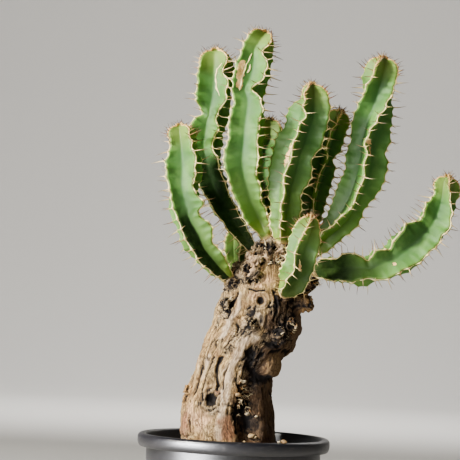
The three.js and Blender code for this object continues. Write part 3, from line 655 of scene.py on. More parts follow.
# Thin raised corky lines on the front of the stems: stem, and points of x and z.
CORK_LINES = [
    ("tall", [(1.6, 427), (-0.3, 422), (-2.1, 418), (-4.2, 411), (-5.6, 404), (-6.8, 397)]),
    ("left_back", [(-22, 422), (-24.6, 418), (-26, 413), (-26, 408), (-24.6, 402), (-22.3, 395.7)]),
    ("tall", [(1.2, 418), (0.2, 414), (-1.6, 411)]), ("front", [(43.4, 268), (44.6, 263)]),
]
CORK_LINE_HALF = 0.6
CORK_LINE_STEP = 0.8


def cork_of(points, along, stem):
    """How corky the skin is at its scars: 0 where it is green, 1 where tan and 2 where cream."""
    cork = np.zeros(len(points))
    ragged = 1 + 0.5 * grain(points, 4, 5, 2)
    middle = stem.frame(along)[0]
    for name, path, half, side, hue in CORK_SCARS:
        if name == stem.name:
            path = np.array(path, float)
            away = np.full(len(points), np.inf)
            for start, end in zip(path, path[1:]):
                line = end - start
                reached = points[:, ::2] - start
                share = np.clip(reached @ line / (line @ line), 0, 1)
                away = np.minimum(away, np.linalg.norm(reached - share[:, None] * line, axis=1))
            is_side = smoothstep(side * (points[:, 1] - middle[:, 1]), -1, 1)
            away = away * ragged + 1.6 * grain(points, 4, 6, 2)
            cork = np.maximum(cork, hue * is_side * (1 - smoothstep(away, half * 0.3, half * 1.8)))
    return cork


def margin_strip(stem, rib):
    """The horny ridge along one wing: its points, faces and named values."""
    along = np.append(np.arange(MARGIN_START, stem.length, MARGIN_STEP), stem.length)
    place, tangent, _, _ = stem.frame(along)
    out = stem.direction(along, rib)
    tooth = stem.tooth(along, rib)
    grown = smoothstep(along, *MARGIN_GROWS)
    crest = place + out * stem.crest(along, rib)[:, None]
    inward = place[-1] + out[-1] * stem.crest(along, rib)[-1] * 0.35 + tangent[-1] * 2.3
    crest = np.vstack([crest, (crest[-1] * 0.55 + inward * 0.45) + tangent[-1] * 0.7, inward])
    grown, tooth = np.append(grown, [1, 1]), np.append(tooth, [0.6, 0.6])
    path = unit(np.gradient(crest, axis=0))
    out = np.vstack([out, out[-1:], out[-1:]])
    across = unit(np.cross(path, out))
    up = np.cross(across, path)
    ragged = grain(crest, 1.6, stem.index + 7 * rib)
    half = (MARGIN_HALF + SHIELD_HALF * tooth) * (0.4 + 0.6 * grown) * (1 + 0.25 * ragged)
    rise = MARGIN_RISE * (0.3 + 0.7 * grown) * (0.75 + 0.45 * tooth + 0.2 * ragged)
    across, up = across * half[:, None], up * rise[:, None]
    points, faces = tube(np.stack([crest + across * x + up * y for x, y in MARGIN_PROFILE], axis=1))
    age = np.append(along, [along[-1], along[-1]])
    values = {"tooth": tooth, "age": age, "to_tip": stem.length - age}
    for key, value in values.items():
        values[key] = np.append(np.repeat(value, len(MARGIN_PROFILE)), [value[0], value[-1]])
    return points, faces, values


def make_margins(stem, finish):
    """The four horny ridges of one stem."""
    points, faces, values = joined([margin_strip(stem, rib) for rib in range(RIBS)])
    return mesh_piece(f"margins_{stem.name}", points, faces, finish, values)


def make_cork_lines(skins, finish):
    """Raised corky lines on the stems' skins, each pressed a little into its skin."""
    parts = []
    for name, path in CORK_LINES:
        mesh = skins[name].data
        skin_faces = [list(face.vertices) for face in mesh.polygons]
        tree = BVHTree.FromPolygons(read_points(mesh).tolist(), skin_faces)
        path = np.array(path, float)
        run = run_along(path)
        along = np.linspace(0, run[-1], int(run[-1] / CORK_LINE_STEP) + 2)
        x, z = (np.interp(along, run, path[:, k]) for k in (0, 1))
        x += 0.7 * grain(np.stack([x, 0 * along, z], axis=1), 5, 3)
        line = np.array([tree.ray_cast(start, (0, 1, 0))[0] for start in zip(x, 0 * x - 200, z)])
        thick = 0.25 + np.sqrt(np.sin(math.pi * along / run[-1]).clip(0))
        half = CORK_LINE_HALF * thick * (1 + grain(line, 3, 7))
        ahead = unit(np.gradient(line, axis=0))
        across = unit(np.cross(ahead, (0, -1.0, 0)))
        out = np.cross(across, ahead)
        rings = [line + half[:, None] * (across * x + out * y) for x, y in CORK_PROFILE]
        points, faces = tube(np.stack(rings, axis=1))
        values = {"tooth": 0, "age": 100, "to_tip": 100}
        parts.append((points, faces, {key: np.full(len(points), value) for key, value in values.items()}))
    points, faces, values = joined(parts)
    return mesh_piece("cork_lines", points, faces, finish, values)


def spine_roots(stem):
    """Roots, directions, lengths and youth of a stem's spines."""
    rng = np.random.default_rng([SEED, stem.index, 99])
    few, short = SHORT_SPINES
    roots, aims, sizes, tips = [], [], [], []
    for rib in range(RIBS):
        along = stem.teeth(rib)
        place, tangent, _, _ = stem.frame(along)
        out = stem.direction(along, rib)
        across = np.cross(tangent, out)
        crest = place + out * (stem.crest(along, rib) + 0.5)[:, None]
        near_tip = smoothstep(along, stem.length - 16, stem.length)
        young = smoothstep(along, stem.length * 0.45, stem.length)
        for side in (-1, 1):
            spread = rng.uniform(*SPINE_SPREAD, len(along)) * side
            lean = rng.uniform(*SPINE_LEAN, len(along)) + 0.8 * near_tip
            aim = unit(out * 0.8 + across * spread[:, None] + tangent * lean[:, None])
            size = rng.uniform(*SPINE_LENGTHS, len(along))
            size = size + SPINE_TOP_EXTRA * young * rng.random(len(along))
            size = size * (0.75 + 0.25 * smoothstep(along, *SPINE_GROWS)) * (1 - 0.4 * near_tip)
            size = size * np.where(rng.random(len(along)) < few, short, 1)
            roots.append(crest + across * (0.5 * side))
            aims.append(aim)
            sizes.append(size)
            tips.append(stem.length - along)
    top, direction, front, side = (value[0] for value in stem.frame(np.array([stem.length + TIP_RISE])))
    for i in range(TIP_SPINES):
        angle = TIP_TURN * i
        out = front * math.cos(angle) + side * math.sin(angle)
        reach = 0.5 + 0.1 * i
        aim = direction * (1.1 - 0.022 * i) + out * (0.25 + 0.03 * i)
        roots.append([top + out * reach - direction * 0.03 * i])
        aims.append([unit(aim + rng.normal(0, 0.25, 3))])
        sizes.append([rng.uniform(3, 6.5)])
        tips.append([0])
    young = 1 - smoothstep(np.concatenate(tips), 6, 26)
    return np.vstack(roots), np.vstack(aims), np.concatenate(sizes), young


class Value:
    """A socket that sums can be written with."""

    def __init__(self, tree, socket):
        self.tree, self.socket = tree, socket

    def math(self, operation, *others):
        return self.tree.node("ShaderNodeMath", {"operation": operation}, dict(enumerate((self, *others))))

    def __add__(self, other):
        return self.math("ADD", other)

    def __sub__(self, other):
        return self.math("SUBTRACT", other)

    def __rsub__(self, other):
        return self * -1 + other

    def __mul__(self, other):
        return self.math("MULTIPLY", other)

    def __truediv__(self, other):
        return self.math("DIVIDE", other)

    def __pow__(self, other):
        return self.math("POWER", other)

    __radd__, __rmul__ = __add__, __mul__

    def clip(self):
        return self.math("MAXIMUM", 0).math("MINIMUM", 1)

    def between(self, low, high):
        """0 below low, 1 above high, and smooth between."""
        ends = {"Value": self, "From Min": low, "From Max": high}
        return self.tree.node("ShaderNodeMapRange", {"interpolation_type": "SMOOTHSTEP"}, ends)

    def output(self, name):
        """Another output of the same node."""
        return Value(self.tree, self.socket.node.outputs[name])


class Tree:
    """A tree of nodes, of a material or of a Geometry Nodes modifier."""

    def __init__(self, tree):
        self.tree = tree

    def node(self, kind, settings=None, inputs=None, output=0):
        made = self.tree.nodes.new(kind)
        for key, value in (settings or {}).items():
            if key == "stops":
                self.stops(made.color_ramp, value)
            else:
                setattr(made, key, value)
        for key, value in (inputs or {}).items():
            self.plug(made.inputs[key], value)
        return Value(self, made.outputs[output]) if made.outputs else made

    def stops(self, ramp, values):
        while len(ramp.elements) < len(values):
            ramp.elements.new(0.5)
        for element, (position, shade) in zip(ramp.elements, values):
            element.position, element.color = position, shade

    def plug(self, socket, value):
        if isinstance(value, Value):
            self.tree.links.new(value.socket, socket)
        else:
            socket.default_value = value

    def mix(self, factor, first, second):
        """A colour between two."""
        inputs = {0: factor, 6: first, 7: second}
        return self.node("ShaderNodeMix", {"data_type": "RGBA"}, inputs, 2)

    def scaled(self, vector, factors):
        inputs = {0: vector, 1: factors}
        return self.node("ShaderNodeVectorMath", {"operation": "MULTIPLY"}, inputs)


class Finish(Tree):
    """A material of one shader. Patterns are sized in millimetres."""

    def __init__(self, name, **constants):
        self.material = bpy.data.materials.new(name)
        self.material.use_nodes = True
        super().__init__(self.material.node_tree)
        self.shader = self.tree.nodes["Principled BSDF"]
        self.place = self.node("ShaderNodeTexCoord").output("Object")
        for key, value in constants.items():
            self.shader.inputs[key.replace("_", " ")].default_value = value

    def noise(self, size, detail=2.0, roughness=0.5, distortion=0.0, vector=None):
        """Soft blotches of about a size, from 0 to 1."""
        inputs = {"Vector": vector or self.place, "Scale": 1 / (size * MM), "Detail": detail,
                  "Roughness": roughness, "Distortion": distortion}
        return self.node("ShaderNodeTexNoise", None, inputs)

    def cell_edges(self, size, vector):
        """How far the edges of cells of about a size are."""
        inputs = {"Vector": vector, "Scale": 1 / (size * MM)}
        return self.node("ShaderNodeTexVoronoi", {"feature": "DISTANCE_TO_EDGE"}, inputs)

    def named(self, name):
        """A named value of the piece's points."""
        return self.node("ShaderNodeAttribute", {"attribute_name": name}).output("Fac")

    def bump(self, height, distance, strength):
        inputs = {"Height": height, "Distance": distance * MM, "Strength": strength}
        return self.node("ShaderNodeBump", None, inputs)

    def done(self, **sockets):
        for key, value in sockets.items():
            self.plug(self.shader.inputs[key.replace("_", " ")], value)
        return self.material


def shade(red, green, blue):
    """A colour given as 0 to 255 as the screen shows it."""
    parts = [value / 255 for value in (red, green, blue)]
    return tuple(p / 12.92 if p < 0.04045 else ((p + 0.055) / 1.055) ** 2.4 for p in parts) + (1.0,)


def flesh_finish():
    skin = Finish("flesh", IOR=1.42, Specular_IOR_Level=0.24, Subsurface_Weight=0.2, Subsurface_Scale=0.004,
                  Subsurface_Radius=(0.5, 1.0, 0.25))
    rim, deep, age, to_tip, cork = (skin.named(key) for key in ("rim", "deep", "age", "to_tip", "cork"))
    blotch = skin.noise(17, 3, 0.55)
    mottle = skin.noise(4.5, 4, 0.6, 0.6)
    dust = skin.noise(1.1, 3, 0.65)
    green = skin.mix((rim * 0.8 + blotch * 0.4 - 0.3).clip(), shade(74, 112, 65), shade(106, 150, 76))
    bloom = blotch.between(0.45, 0.7) * rim.between(0.12, 0.5) * 0.3
    bloom = (bloom + mottle.between(0.5, 0.75) * 0.12).clip()
    green = skin.mix(bloom, green, shade(138, 176, 102))
    # painted light: the stems' lower parts made lighter, and yellower
    green = skin.mix((1 - age.between(25, 80)) * 0.3, green, shade(136, 164, 82))
    green = skin.mix(mottle.between(0.52, 0.75) * 0.35, green, shade(76, 106, 56))
    young = (1 - to_tip.between(4, 24)) * 0.5
    green = skin.mix(young, green, shade(146, 162, 84))
    old = 1 - age.between(2, 26)
    green = skin.mix(old * blotch.between(0.35, 0.6) * 0.5, green, shade(140, 148, 56))
    edge = rim.between(0.95, 0.995) * (0.15 + mottle * 0.25)
    green = skin.mix(edge, green, shade(150, 160, 80))
    green = skin.mix(dust.between(0.68, 0.8) * 0.35, green, shade(196, 200, 160))
    # painted shade: deep green where shade falls in the stems' grooves
    green = skin.mix(deep * (0.75 + mottle * 0.5), green, shade(26, 46, 20))
    neck = 1 - (age + mottle * 5).between(2.5, 8)
    corky = ((cork * (0.1 + mottle * 1.1 + dust * 0.7)).between(0.42, 0.58) + neck).clip()
    tan = skin.mix(dust.between(0.3, 0.7), shade(222, 174, 116), shade(248, 218, 166))
    tan = skin.mix(cork.between(1.1, 1.6), tan, shade(240, 226, 168))
    coloured = skin.mix(corky, green, tan)
    rough = (0.46 + mottle * 0.16 + corky * 0.3 + bloom * 0.1 + deep * 0.35).clip()
    relief = mottle * 0.35 + dust * 0.25 + corky * dust * 0.8
    return skin.done(Base_Color=coloured, Roughness=rough, Normal=skin.bump(relief, 0.35, 0.7))


def horn_finish():
    horn = Finish("horn", IOR=1.48)
    tooth, age, to_tip = (horn.named(key) for key in ("tooth", "age", "to_tip"))
    blotch = horn.noise(6, 3, 0.6)
    fine = horn.noise(0.9, 3, 0.6)
    cream = horn.mix(fine, shade(232, 210, 140), shade(250, 238, 188))
    cream = horn.mix(blotch.between(0.56, 0.74) * 0.5, cream, shade(206, 160, 92))
    cream = horn.mix(fine.between(0.66, 0.78) * 0.35, cream, shade(158, 110, 62))
    young = 1 - to_tip.between(3, 24)
    cream = horn.mix(young * 0.65, cream, shade(196, 148, 74))
    cream = horn.mix(tooth * blotch.between(0.4, 0.65) * 0.35, cream, shade(170, 126, 84))
    old = 1 - age.between(0, 14)
    cream = horn.mix(old * 0.6, cream, shade(168, 140, 104))
    return horn.done(Base_Color=cream, Roughness=0.45 + blotch * 0.2, Normal=horn.bump(fine, 0.25, 0.7))


def spine_finish():
    thorn = Finish("thorn", IOR=1.5)
    tipward, hue, young = (thorn.named(key) for key in ("tipward", "hue", "young"))
    fine = thorn.noise(0.8, 2)
    cream = thorn.mix(fine, shade(226, 196, 132), shade(246, 228, 176))
    cream = thorn.mix((hue.between(0.4, 0.8) * 0.75 + young * 0.5).clip(), cream, shade(136, 82, 42))
    tip = tipward.between(0.2, 0.75)
    coloured = thorn.mix(tip * (0.55 + hue * 0.35 + young * 0.1), cream, shade(66, 36, 22))
    return thorn.done(Base_Color=coloured, Roughness=0.42 + fine * 0.15)


def dry_finish():
    dry = Finish("dry_thorn", IOR=1.45)
    tipward, hue = dry.named("tipward"), dry.named("hue")
    fine = dry.noise(0.9, 2)
    brown = dry.mix(fine, shade(142, 100, 58), shade(208, 162, 102))
    brown = dry.mix(hue.between(0.2, 0.45), brown, shade(238, 222, 184))
    brown = dry.mix(tipward * 0.5, brown, shade(84, 52, 34))
    return dry.done(Base_Color=brown, Roughness=0.6 + fine * 0.2)


class Modifier(Tree):
    """A Geometry Nodes modifier with named inputs, used up when its result becomes a plain mesh."""

    def __init__(self, name, sizes):
        self.group = bpy.data.node_groups.new(name, "GeometryNodeTree")
        super().__init__(self.group)
        face = self.group.interface
        face.new_socket("Geometry", in_out="INPUT", socket_type="NodeSocketGeometry")
        face.new_socket("Geometry", in_out="OUTPUT", socket_type="NodeSocketGeometry")
        for key, value in sizes.items():
            kind = {int: "NodeSocketInt", float: "NodeSocketFloat"}.get(type(value), "NodeSocketMaterial")
            face.new_socket(key, in_out="INPUT", socket_type=kind)
        self.sizes = sizes
        self.source = self.node("NodeGroupInput")
        self.geometry = self.source

    def size(self, name):
        return self.source.output(name)

    def named_value(self, name, kind="FLOAT"):
        return self.node("GeometryNodeInputNamedAttribute", {"data_type": kind}, {"Name": name})

    def stored(self, geometry, name, value, domain="POINT"):
        settings = {"data_type": "FLOAT", "domain": domain}
        inputs = {"Geometry": geometry, "Name": name, "Value": value}
        return self.node("GeometryNodeStoreNamedAttribute", settings, inputs)

    def random(self, seed, ends=None, kind="FLOAT"):
        """A random value for each point, between 0 and 1 or other ends."""
        inputs = {**(ends or {}), "Seed": seed}
        output = {"FLOAT_VECTOR": 0, "FLOAT": 1}[kind]
        return self.node("FunctionNodeRandomValue", {"data_type": kind}, inputs, output)

    def finish(self, instances):
        """Ends the tree: the copies become real and take the finish."""
        real = self.node("GeometryNodeRealizeInstances", None, {"Geometry": instances})
        coating = {"Geometry": real, "Material": self.size("Finish")}
        coated = self.node("GeometryNodeSetMaterial", None, coating)
        self.tree.links.new(coated.socket, self.tree.nodes.new("NodeGroupOutput").inputs[0])

    def apply(self, carrier, name, finish):
        """A plain mesh piece of what the tree makes on a carrier, which is then removed."""
        modifier = carrier.modifiers.new(name, "NODES")
        modifier.node_group = self.group
        for item in self.group.interface.items_tree:
            if item.in_out == "INPUT" and item.name in self.sizes:
                modifier[item.identifier] = self.sizes[item.name]
        mesh = plain_mesh(carrier)
        mesh.name = name
        mesh.materials.clear()
        mesh.materials.append(finish)
        carrier.modifiers.remove(modifier)
        bpy.data.objects.remove(carrier)
        return linked(name, mesh)


def spine_tree(finish, thickness, bend, seed):
    """Curved thorns on points, each along its point's aim and as long as its size."""
    sizes = {"Thickness": thickness, "Bend": bend, "Sides": 6, "Steps": 5, "Seed": seed, "Finish": finish}
    tree = Modifier("thorns", sizes)
    share = tree.node("GeometryNodeSplineParameter")
    middle = tree.node("ShaderNodeCombineXYZ", None, {0: tree.size("Bend"), 2: 0.5})
    ends = {"Resolution": tree.size("Steps"), "Start": (0, 0, -0.06), "Middle": middle, "End": (0, 0, 1)}
    bow = tree.node("GeometryNodeCurveQuadraticBezier", None, ends)
    width = tree.size("Thickness") * ((1 - share) ** 0.75 + 0.03)
    bow = tree.stored(bow, "tipward", share)
    circle = {"Resolution": tree.size("Sides"), "Radius": 1.0}
    circle = tree.node("GeometryNodeCurvePrimitiveCircle", None, circle)
    skins = {"Curve": bow, "Profile Curve": circle, "Scale": width, "Fill Caps": True}
    thorn = tree.node("GeometryNodeCurveToMesh", None, skins)
    aim = tree.named_value("aim", "FLOAT_VECTOR")
    turn = tree.node("FunctionNodeAlignRotationToVector", {"axis": "Z"}, {"Vector": aim})
    spin = tree.random(tree.size("Seed"), {3: 2 * math.pi})
    around = tree.node("FunctionNodeAxisAngleToRotation", None, {"Axis": (0, 0, 1), "Angle": spin})
    turn = {"Rotation": turn, "Rotate By": around}
    turn = tree.node("FunctionNodeRotateRotation", {"rotation_space": "LOCAL"}, turn)
    size = tree.named_value("size")
    copies = {"Points": tree.geometry, "Instance": thorn, "Rotation": turn, "Scale": size}
    copies = tree.node("GeometryNodeInstanceOnPoints", None, copies)
    hue = tree.random(tree.size("Seed") + 1)
    tree.finish(tree.stored(copies, "hue", hue, "INSTANCE"))
    return tree


def make_thorns(name, roots, aims, sizes, young, tree, finish):
    """A piece of thorns from their roots, aims, lengths and youth."""
    values = {"size": np.asarray(sizes) * MM, "young": young}
    carrier = mesh_piece(name + "_roots", roots, [], finish, values)
    aim = carrier.data.attributes.new("aim", "FLOAT_VECTOR", "POINT")
    aim.data.foreach_set("vector", np.asarray(aims, np.float32).ravel())
    return tree.apply(carrier, name, finish)


def bar_rings(start, end, stops, sides=20):
    """Rings round a line, at stops of distance from the start and radius."""
    start, end = np.array(start, float), np.array(end, float)
    along = unit(end - start)
    side = unit(np.cross(along, [0.13, 0.21, 0.97]))
    up = np.cross(along, side)
    angle = np.arange(sides) / sides * 2 * math.pi
    circle = np.cos(angle)[:, None] * side + np.sin(angle)[:, None] * up
    return [start + along * distance + circle * radius for distance, radius in stops]


def sections_at(height):
    """Middle x and y, half width and half depth of the wood at each height, a little rounded off."""
    heights, *columns = np.array(CAUDEX_SECTIONS, float).T
    rows = [[np.interp(height + shift, heights, column) for shift in (-2.5, 0, 2.5)] for column in columns]
    return np.mean(rows, axis=1)


def skin_at(direction, height):
    """The wood's middle at a height, and the way from there to its skin in a direction."""
    x, y, half_width, half_depth = sections_at(height)
    angle = math.radians(direction)
    way = np.array([half_width * math.sin(angle), -half_depth * math.cos(angle), 0])
    return np.array([x, y, height]), way


def away_from(turn, at):
    """Degrees from a direction, between -180 and 180."""
    return (turn - at + 540) % 360 - 180


def wood_size(height, turn, half_width):
    """Share of the section's size that the wood has at a height and direction."""
    size = np.ones(np.broadcast(height, turn).shape)
    for at, depth, half, low, high in FURROWS:
        starts = smoothstep(height, low + FURROW_START[0], low + FURROW_START[1])
        ends = 1 - smoothstep(height, high + FURROW_END[0], high + FURROW_END[1])
        size -= depth / half_width * starts * ends * gauss(away_from(turn, at) / half)
    grown = smoothstep(height, *WOOD_STARTS) * (1 - smoothstep(height, *WOOD_ENDS))
    for share, waves_round, rise in RELIEF:
        size += grown * share * np.sin(waves_round * np.radians(turn) + height / rise)
    return size


TRUNK_FOOT = 90
TRUNK_TOP = 283
TRUNK_SIDES = 180
VOXEL = 0.84               # size of the wood's fine faces
SMOOTHING = 5
BUD_RISE = 1.5             # how much higher a bud's end stands than its foot
LEAST_RADIUS = 18          # the wood counts as at least this thick where directions become distances
FIBRE_RADIUS = 33          # the radius at which the fibres' pattern has its true width
FIBRE_STRETCH = 5          # how much longer than wide the fibres are
BARK_GROWS = (118, 132)


def knobs():
    """All knobs of the wood, with the old buds of its crown."""
    found = list(KNOBS)
    for direction, height, radius in BUDS:
        middle, way = skin_at(direction, height)
        foot, out = middle + way, unit(way) * radius
        found.append((foot - out, foot + out * 0.85 + (0, 0, BUD_RISE), radius, radius, "bud"))
    return found


def trunk_blank(stems):
    """The wood's plain forms, one skin for each: the trunk, its knobs and the collars round the necks."""
    heights = np.arange(TRUNK_FOOT, TRUNK_TOP + 1, 1.0)
    turn = np.arange(TRUNK_SIDES) / TRUNK_SIDES * 360 - 180
    x, y, half_width, half_depth = (value[:, None] for value in sections_at(heights))
    size = wood_size(heights[:, None], turn[None, :], half_width)
    across = x + half_width * size * np.sin(np.radians(turn))
    towards = y - half_depth * size * np.cos(np.radians(turn))
    rings = np.stack([across, towards, np.repeat(heights[:, None], TRUNK_SIDES, axis=1)], axis=2)
    skins = [tube(rings)]
    for start, end, wide, narrow, kind in knobs():
        length = np.linalg.norm(np.subtract(end, start))
        if kind == "cut":
            stops = [(0, wide), (length * 0.7, narrow * 0.95), (length, narrow),
                     (length + 1, narrow * 0.85)]
        elif kind == "bud":
            stops = [(0, wide), (length * 0.5, wide), (length * 0.8, wide * 0.85), (length, wide * 0.5),
                     (length + 0.4, wide * 0.2)]
        else:
            stops = [(0, wide), (length * 0.6, (wide + narrow) / 2), (length - 3, narrow * 1.02),
                     (length - 1, narrow * 0.9), (length + 0.6, narrow * 0.66),
                     (length + 1.6, narrow * 0.25)]
        skins.append(tube(bar_rings(start, end, stops)))
    for stem in stems:
        place, tangent, _, _ = (value[0] for value in stem.frame(np.zeros(1)))
        collar = NECK_RADIUS + COLLAR_EXTRA
        stops = [(0, collar + 1.2), (COLLAR_DEPTH - 4, collar), (COLLAR_DEPTH, collar - 1.2),
                 (COLLAR_DEPTH + 2, NECK_RADIUS + 0.8), (COLLAR_DEPTH + 3.5, NECK_RADIUS - 0.6)]
        skins.append(tube(bar_rings(place - tangent * COLLAR_DEPTH, place, stops)))
    return joined([(points, faces, {}) for points, faces in skins])[:2]


def remeshed(points, faces, size):
    """A mesh of the one outer skin of overlapping skins, with faces of about a size."""
    blank = mesh_piece("blank", points, faces, bpy.data.materials.new("blank"))
    remesh = blank.modifiers.new("remesh", "REMESH")
    remesh.mode, remesh.voxel_size = "VOXEL", size * MM
    mesh = plain_mesh(blank)
    bpy.data.objects.remove(blank)
    return mesh


def read_points(mesh):
    points = np.empty(len(mesh.vertices) * 3, np.float32)
    mesh.vertices.foreach_get("co", points)
    return points.reshape(-1, 3) / MM


def write_points(mesh, points):
    mesh.vertices.foreach_set("co", (points * MM).astype(np.float32).ravel())
    mesh.update()


def read_normals(mesh):
    normals = np.empty(len(mesh.vertices) * 3, np.float32)
    mesh.vertex_normals.foreach_get("vector", normals)
    return normals.reshape(-1, 3)


def soften(mesh, rounds):
    """Moves each point half way to the mean of its neighbours, some rounds over."""
    points = read_points(mesh)
    edges = np.empty(len(mesh.edges) * 2, np.int32)
    mesh.edges.foreach_get("vertices", edges)
    a, b = edges.reshape(-1, 2).T
    count = np.bincount(a, minlength=len(points)) + np.bincount(b, minlength=len(points))
    for _ in range(rounds):
        total = np.zeros_like(points)
        np.add.at(total, a, points[b])
        np.add.at(total, b, points[a])
        points = (points + total / count[:, None]) / 2
    write_points(mesh, points)


def nearest_on_path(turn, height, path, radius):
    """Distance in millimetres from a path of directions and heights."""
    best = np.full(len(turn), np.inf)
    for (turn0, height0), (turn1, height1) in zip(path, path[1:]):
        across, up = np.radians(away_from(turn, turn0)) * radius, height - height0
        line_across, line_up = math.radians(turn1 - turn0) * radius, height1 - height0
        share = (across * line_across + up * line_up) / (line_across ** 2 + line_up ** 2)
        share = share.clip(0, 1)
        best = np.minimum(best, np.hypot(across - share * line_across, up - share * line_up))
    return best


def spots(turn, height, radius, ragged, table):
    """1 in the middle of round spots of the wood and 0 outside them."""
    value = np.zeros(len(turn))
    for at, level, half_width, half_height in table:
        across = np.radians(away_from(turn, at)) * radius / half_width
        away = np.hypot(across, (height - level) / half_height) * ragged
        value = np.maximum(value, 1 - smoothstep(away, 0.55, 1.2))
    return value


def make_caudex(stems, finish):
    """The wood: its blank in one skin, with bark, cracks, knots and scars pressed into it."""
    mesh = remeshed(*trunk_blank(stems), VOXEL)
    soften(mesh, SMOOTHING)
    points, normals = read_points(mesh), read_normals(mesh)
    height = points[:, 2]
    x, y, half_width, _ = sections_at(height)
    turn = np.degrees(np.arctan2(points[:, 0] - x, y - points[:, 1]))
    radius = np.clip(half_width, LEAST_RADIUS, None)
    grown = smoothstep(height, *BARK_GROWS)
    wander = np.stack([grain(points, 14, 1), grain(points, 14, 2)], axis=1)
    stray = np.stack([grain(points, 4, 3), grain(points, 4, 4)], axis=1)
    across = np.radians(turn)
    slant = np.stack([np.sin(across) * FIBRE_RADIUS, np.cos(across) * FIBRE_RADIUS, height / FIBRE_STRETCH],
                     axis=1)
    slant[:, :2] += wander * 3 + stray * 0.5
    bent_turn = turn + np.degrees((wander[:, 0] * 2 + stray[:, 0]) / radius)
    bent_height = height + wander[:, 1] * 2 + stray[:, 1]
    ragged = 1 + 0.5 * grain(points, 4, 6)

    pale = np.zeros(len(points))
    for path, half in BLEACHED:
        away = nearest_on_path(bent_turn, bent_height, path, radius) * ragged
        pale = np.maximum(pale, 1 - smoothstep(away, half * 0.4, half * 1.8))
    crumble, rusty, peachy, black_and_shaded, calm = (spots(turn, height, radius, ragged, table)
                                           for table in (CRUMBLES, RUSTY, PEACHY, BLACK_AND_SHADED, SMOOTHED))
    # brown: painted shade and darker bark on the side away from the light, and brown patches behind
    edge = np.interp(height, *zip(*SHADED_SIDE)) + 8 * wander[:, 0] + 4 * stray[:, 0]
    brown = smoothstep(turn, edge - 3, edge + 5) * (1 - smoothstep(turn + 30 * wander[:, 1], 110, 150))
    behind = smoothstep(grain(points, 22, 30), 0.12, 0.3) * smoothstep(np.abs(turn), 95, 120)
    brown = np.maximum(brown, behind)

    scaly, rings, cut, stub_darkening = (np.zeros(len(points)) for _ in range(4))
    for _, end, _, size, kind in knobs():
        away = np.linalg.norm(points - end, axis=1)
        near = 1 - smoothstep(away, size * 1.1, size * 2)
        if kind in ("scar", "thorny", "bud"):
            scaly = np.maximum(scaly, near)
            rings += near * np.sin(2 * math.pi * away / 2.5 + 6 * stray[:, 0])
        if kind == "thorny":
            # darker round the thorny stub
            stub_darkening = np.maximum(stub_darkening, near)
        if kind == "smooth":
            calm = np.maximum(calm, 1 - smoothstep(away, size, size * 1.45))
            lobe = 1 - smoothstep(away, size, size * 1.3)
        if kind == "cut":
            cut = np.maximum(cut, near)
            rings += 1.1 * near * np.sin(2 * math.pi * away / 2.3 + 2.5 * stray[:, 0])
    for stem in stems:
        place = stem.frame(np.zeros(1))[0][0]
        near = 1 - smoothstep(np.linalg.norm(points - place, axis=1), 8, 15)
        scaly = np.maximum(scaly, 0.8 * near)
        rings += 0.6 * near * np.sin(2 * math.pi * height / 2.8 + 6 * stray[:, 0])
    rings = np.clip(rings, -1.3, 1.3)
    plain = smoothstep(turn, -6, 6) * (1 - smoothstep(turn, 40, 60)) * (1 - smoothstep(height, 262, 270))
    crown = smoothstep(height, 246, 260) * (1 - plain)
    scaly = np.maximum(scaly * (1 - 0.7 * plain) * (1 - 0.5 * crown), 0.35 * crown)
    # the lobe stands out into the light, so it gets less of the painted shade
    brown = brown * (1 - 0.25 * lobe)
    calm = np.clip(calm + 0.7 * pale, 0, 1)
    rough = np.clip(np.maximum(crumble, scaly) * (1 - 0.9 * calm), 0, 1)
    gnarled = np.clip(smoothstep(grain(points, 20, 5), -0.2, 0.25) + rough, 0, 1) * (1 - 0.9 * calm)

    crack, lips = np.zeros(len(points)), np.zeros(len(points))
    broken = smoothstep(grain(slant, 5, 7), -0.42, -0.2)
    for path, half in CRACKS:
        away = nearest_on_path(bent_turn, bent_height, path, radius) / (half * ragged)
        crack = np.maximum(crack, broken * gauss(away / 1.1))
        lips = np.maximum(lips, gauss((away - 2.6) / 1.1))
    lines = gauss(grain(slant, 8, 8) / 0.045) * (0.45 + 0.55 * gnarled) * broken * (1 - 0.6 * calm)
    fibres = gauss(grain(slant, 3.6, 9, 2) / 0.07) * (0.5 + 0.5 * gnarled)
    fibres = fibres * (1 - 0.6 * crown) * (1 - 0.55 * calm)
    folds = gauss(grain(points + 2.5 * grain(points, 9, 15)[:, None], 11, 16) / 0.05) * gnarled
    knot, rim, groove = (np.zeros(len(points)) for _ in range(3))
    for at, level, size, depth in KNOTS:
        aside = np.radians(away_from(turn, at)) * radius
        away = np.hypot(aside, height - level) / size * (1 + 0.4 * (ragged - 1))
        knot = np.maximum(knot, depth * gauss(away / 0.85))
        rim = np.maximum(rim, gauss((away - 1.35) / 0.3) + 0.6 * gauss((away - 2.15) / 0.25))
        groove = np.maximum(groove, gauss((away - 1.75) / 0.2) + 0.7 * gauss((away - 2.6) / 0.25))

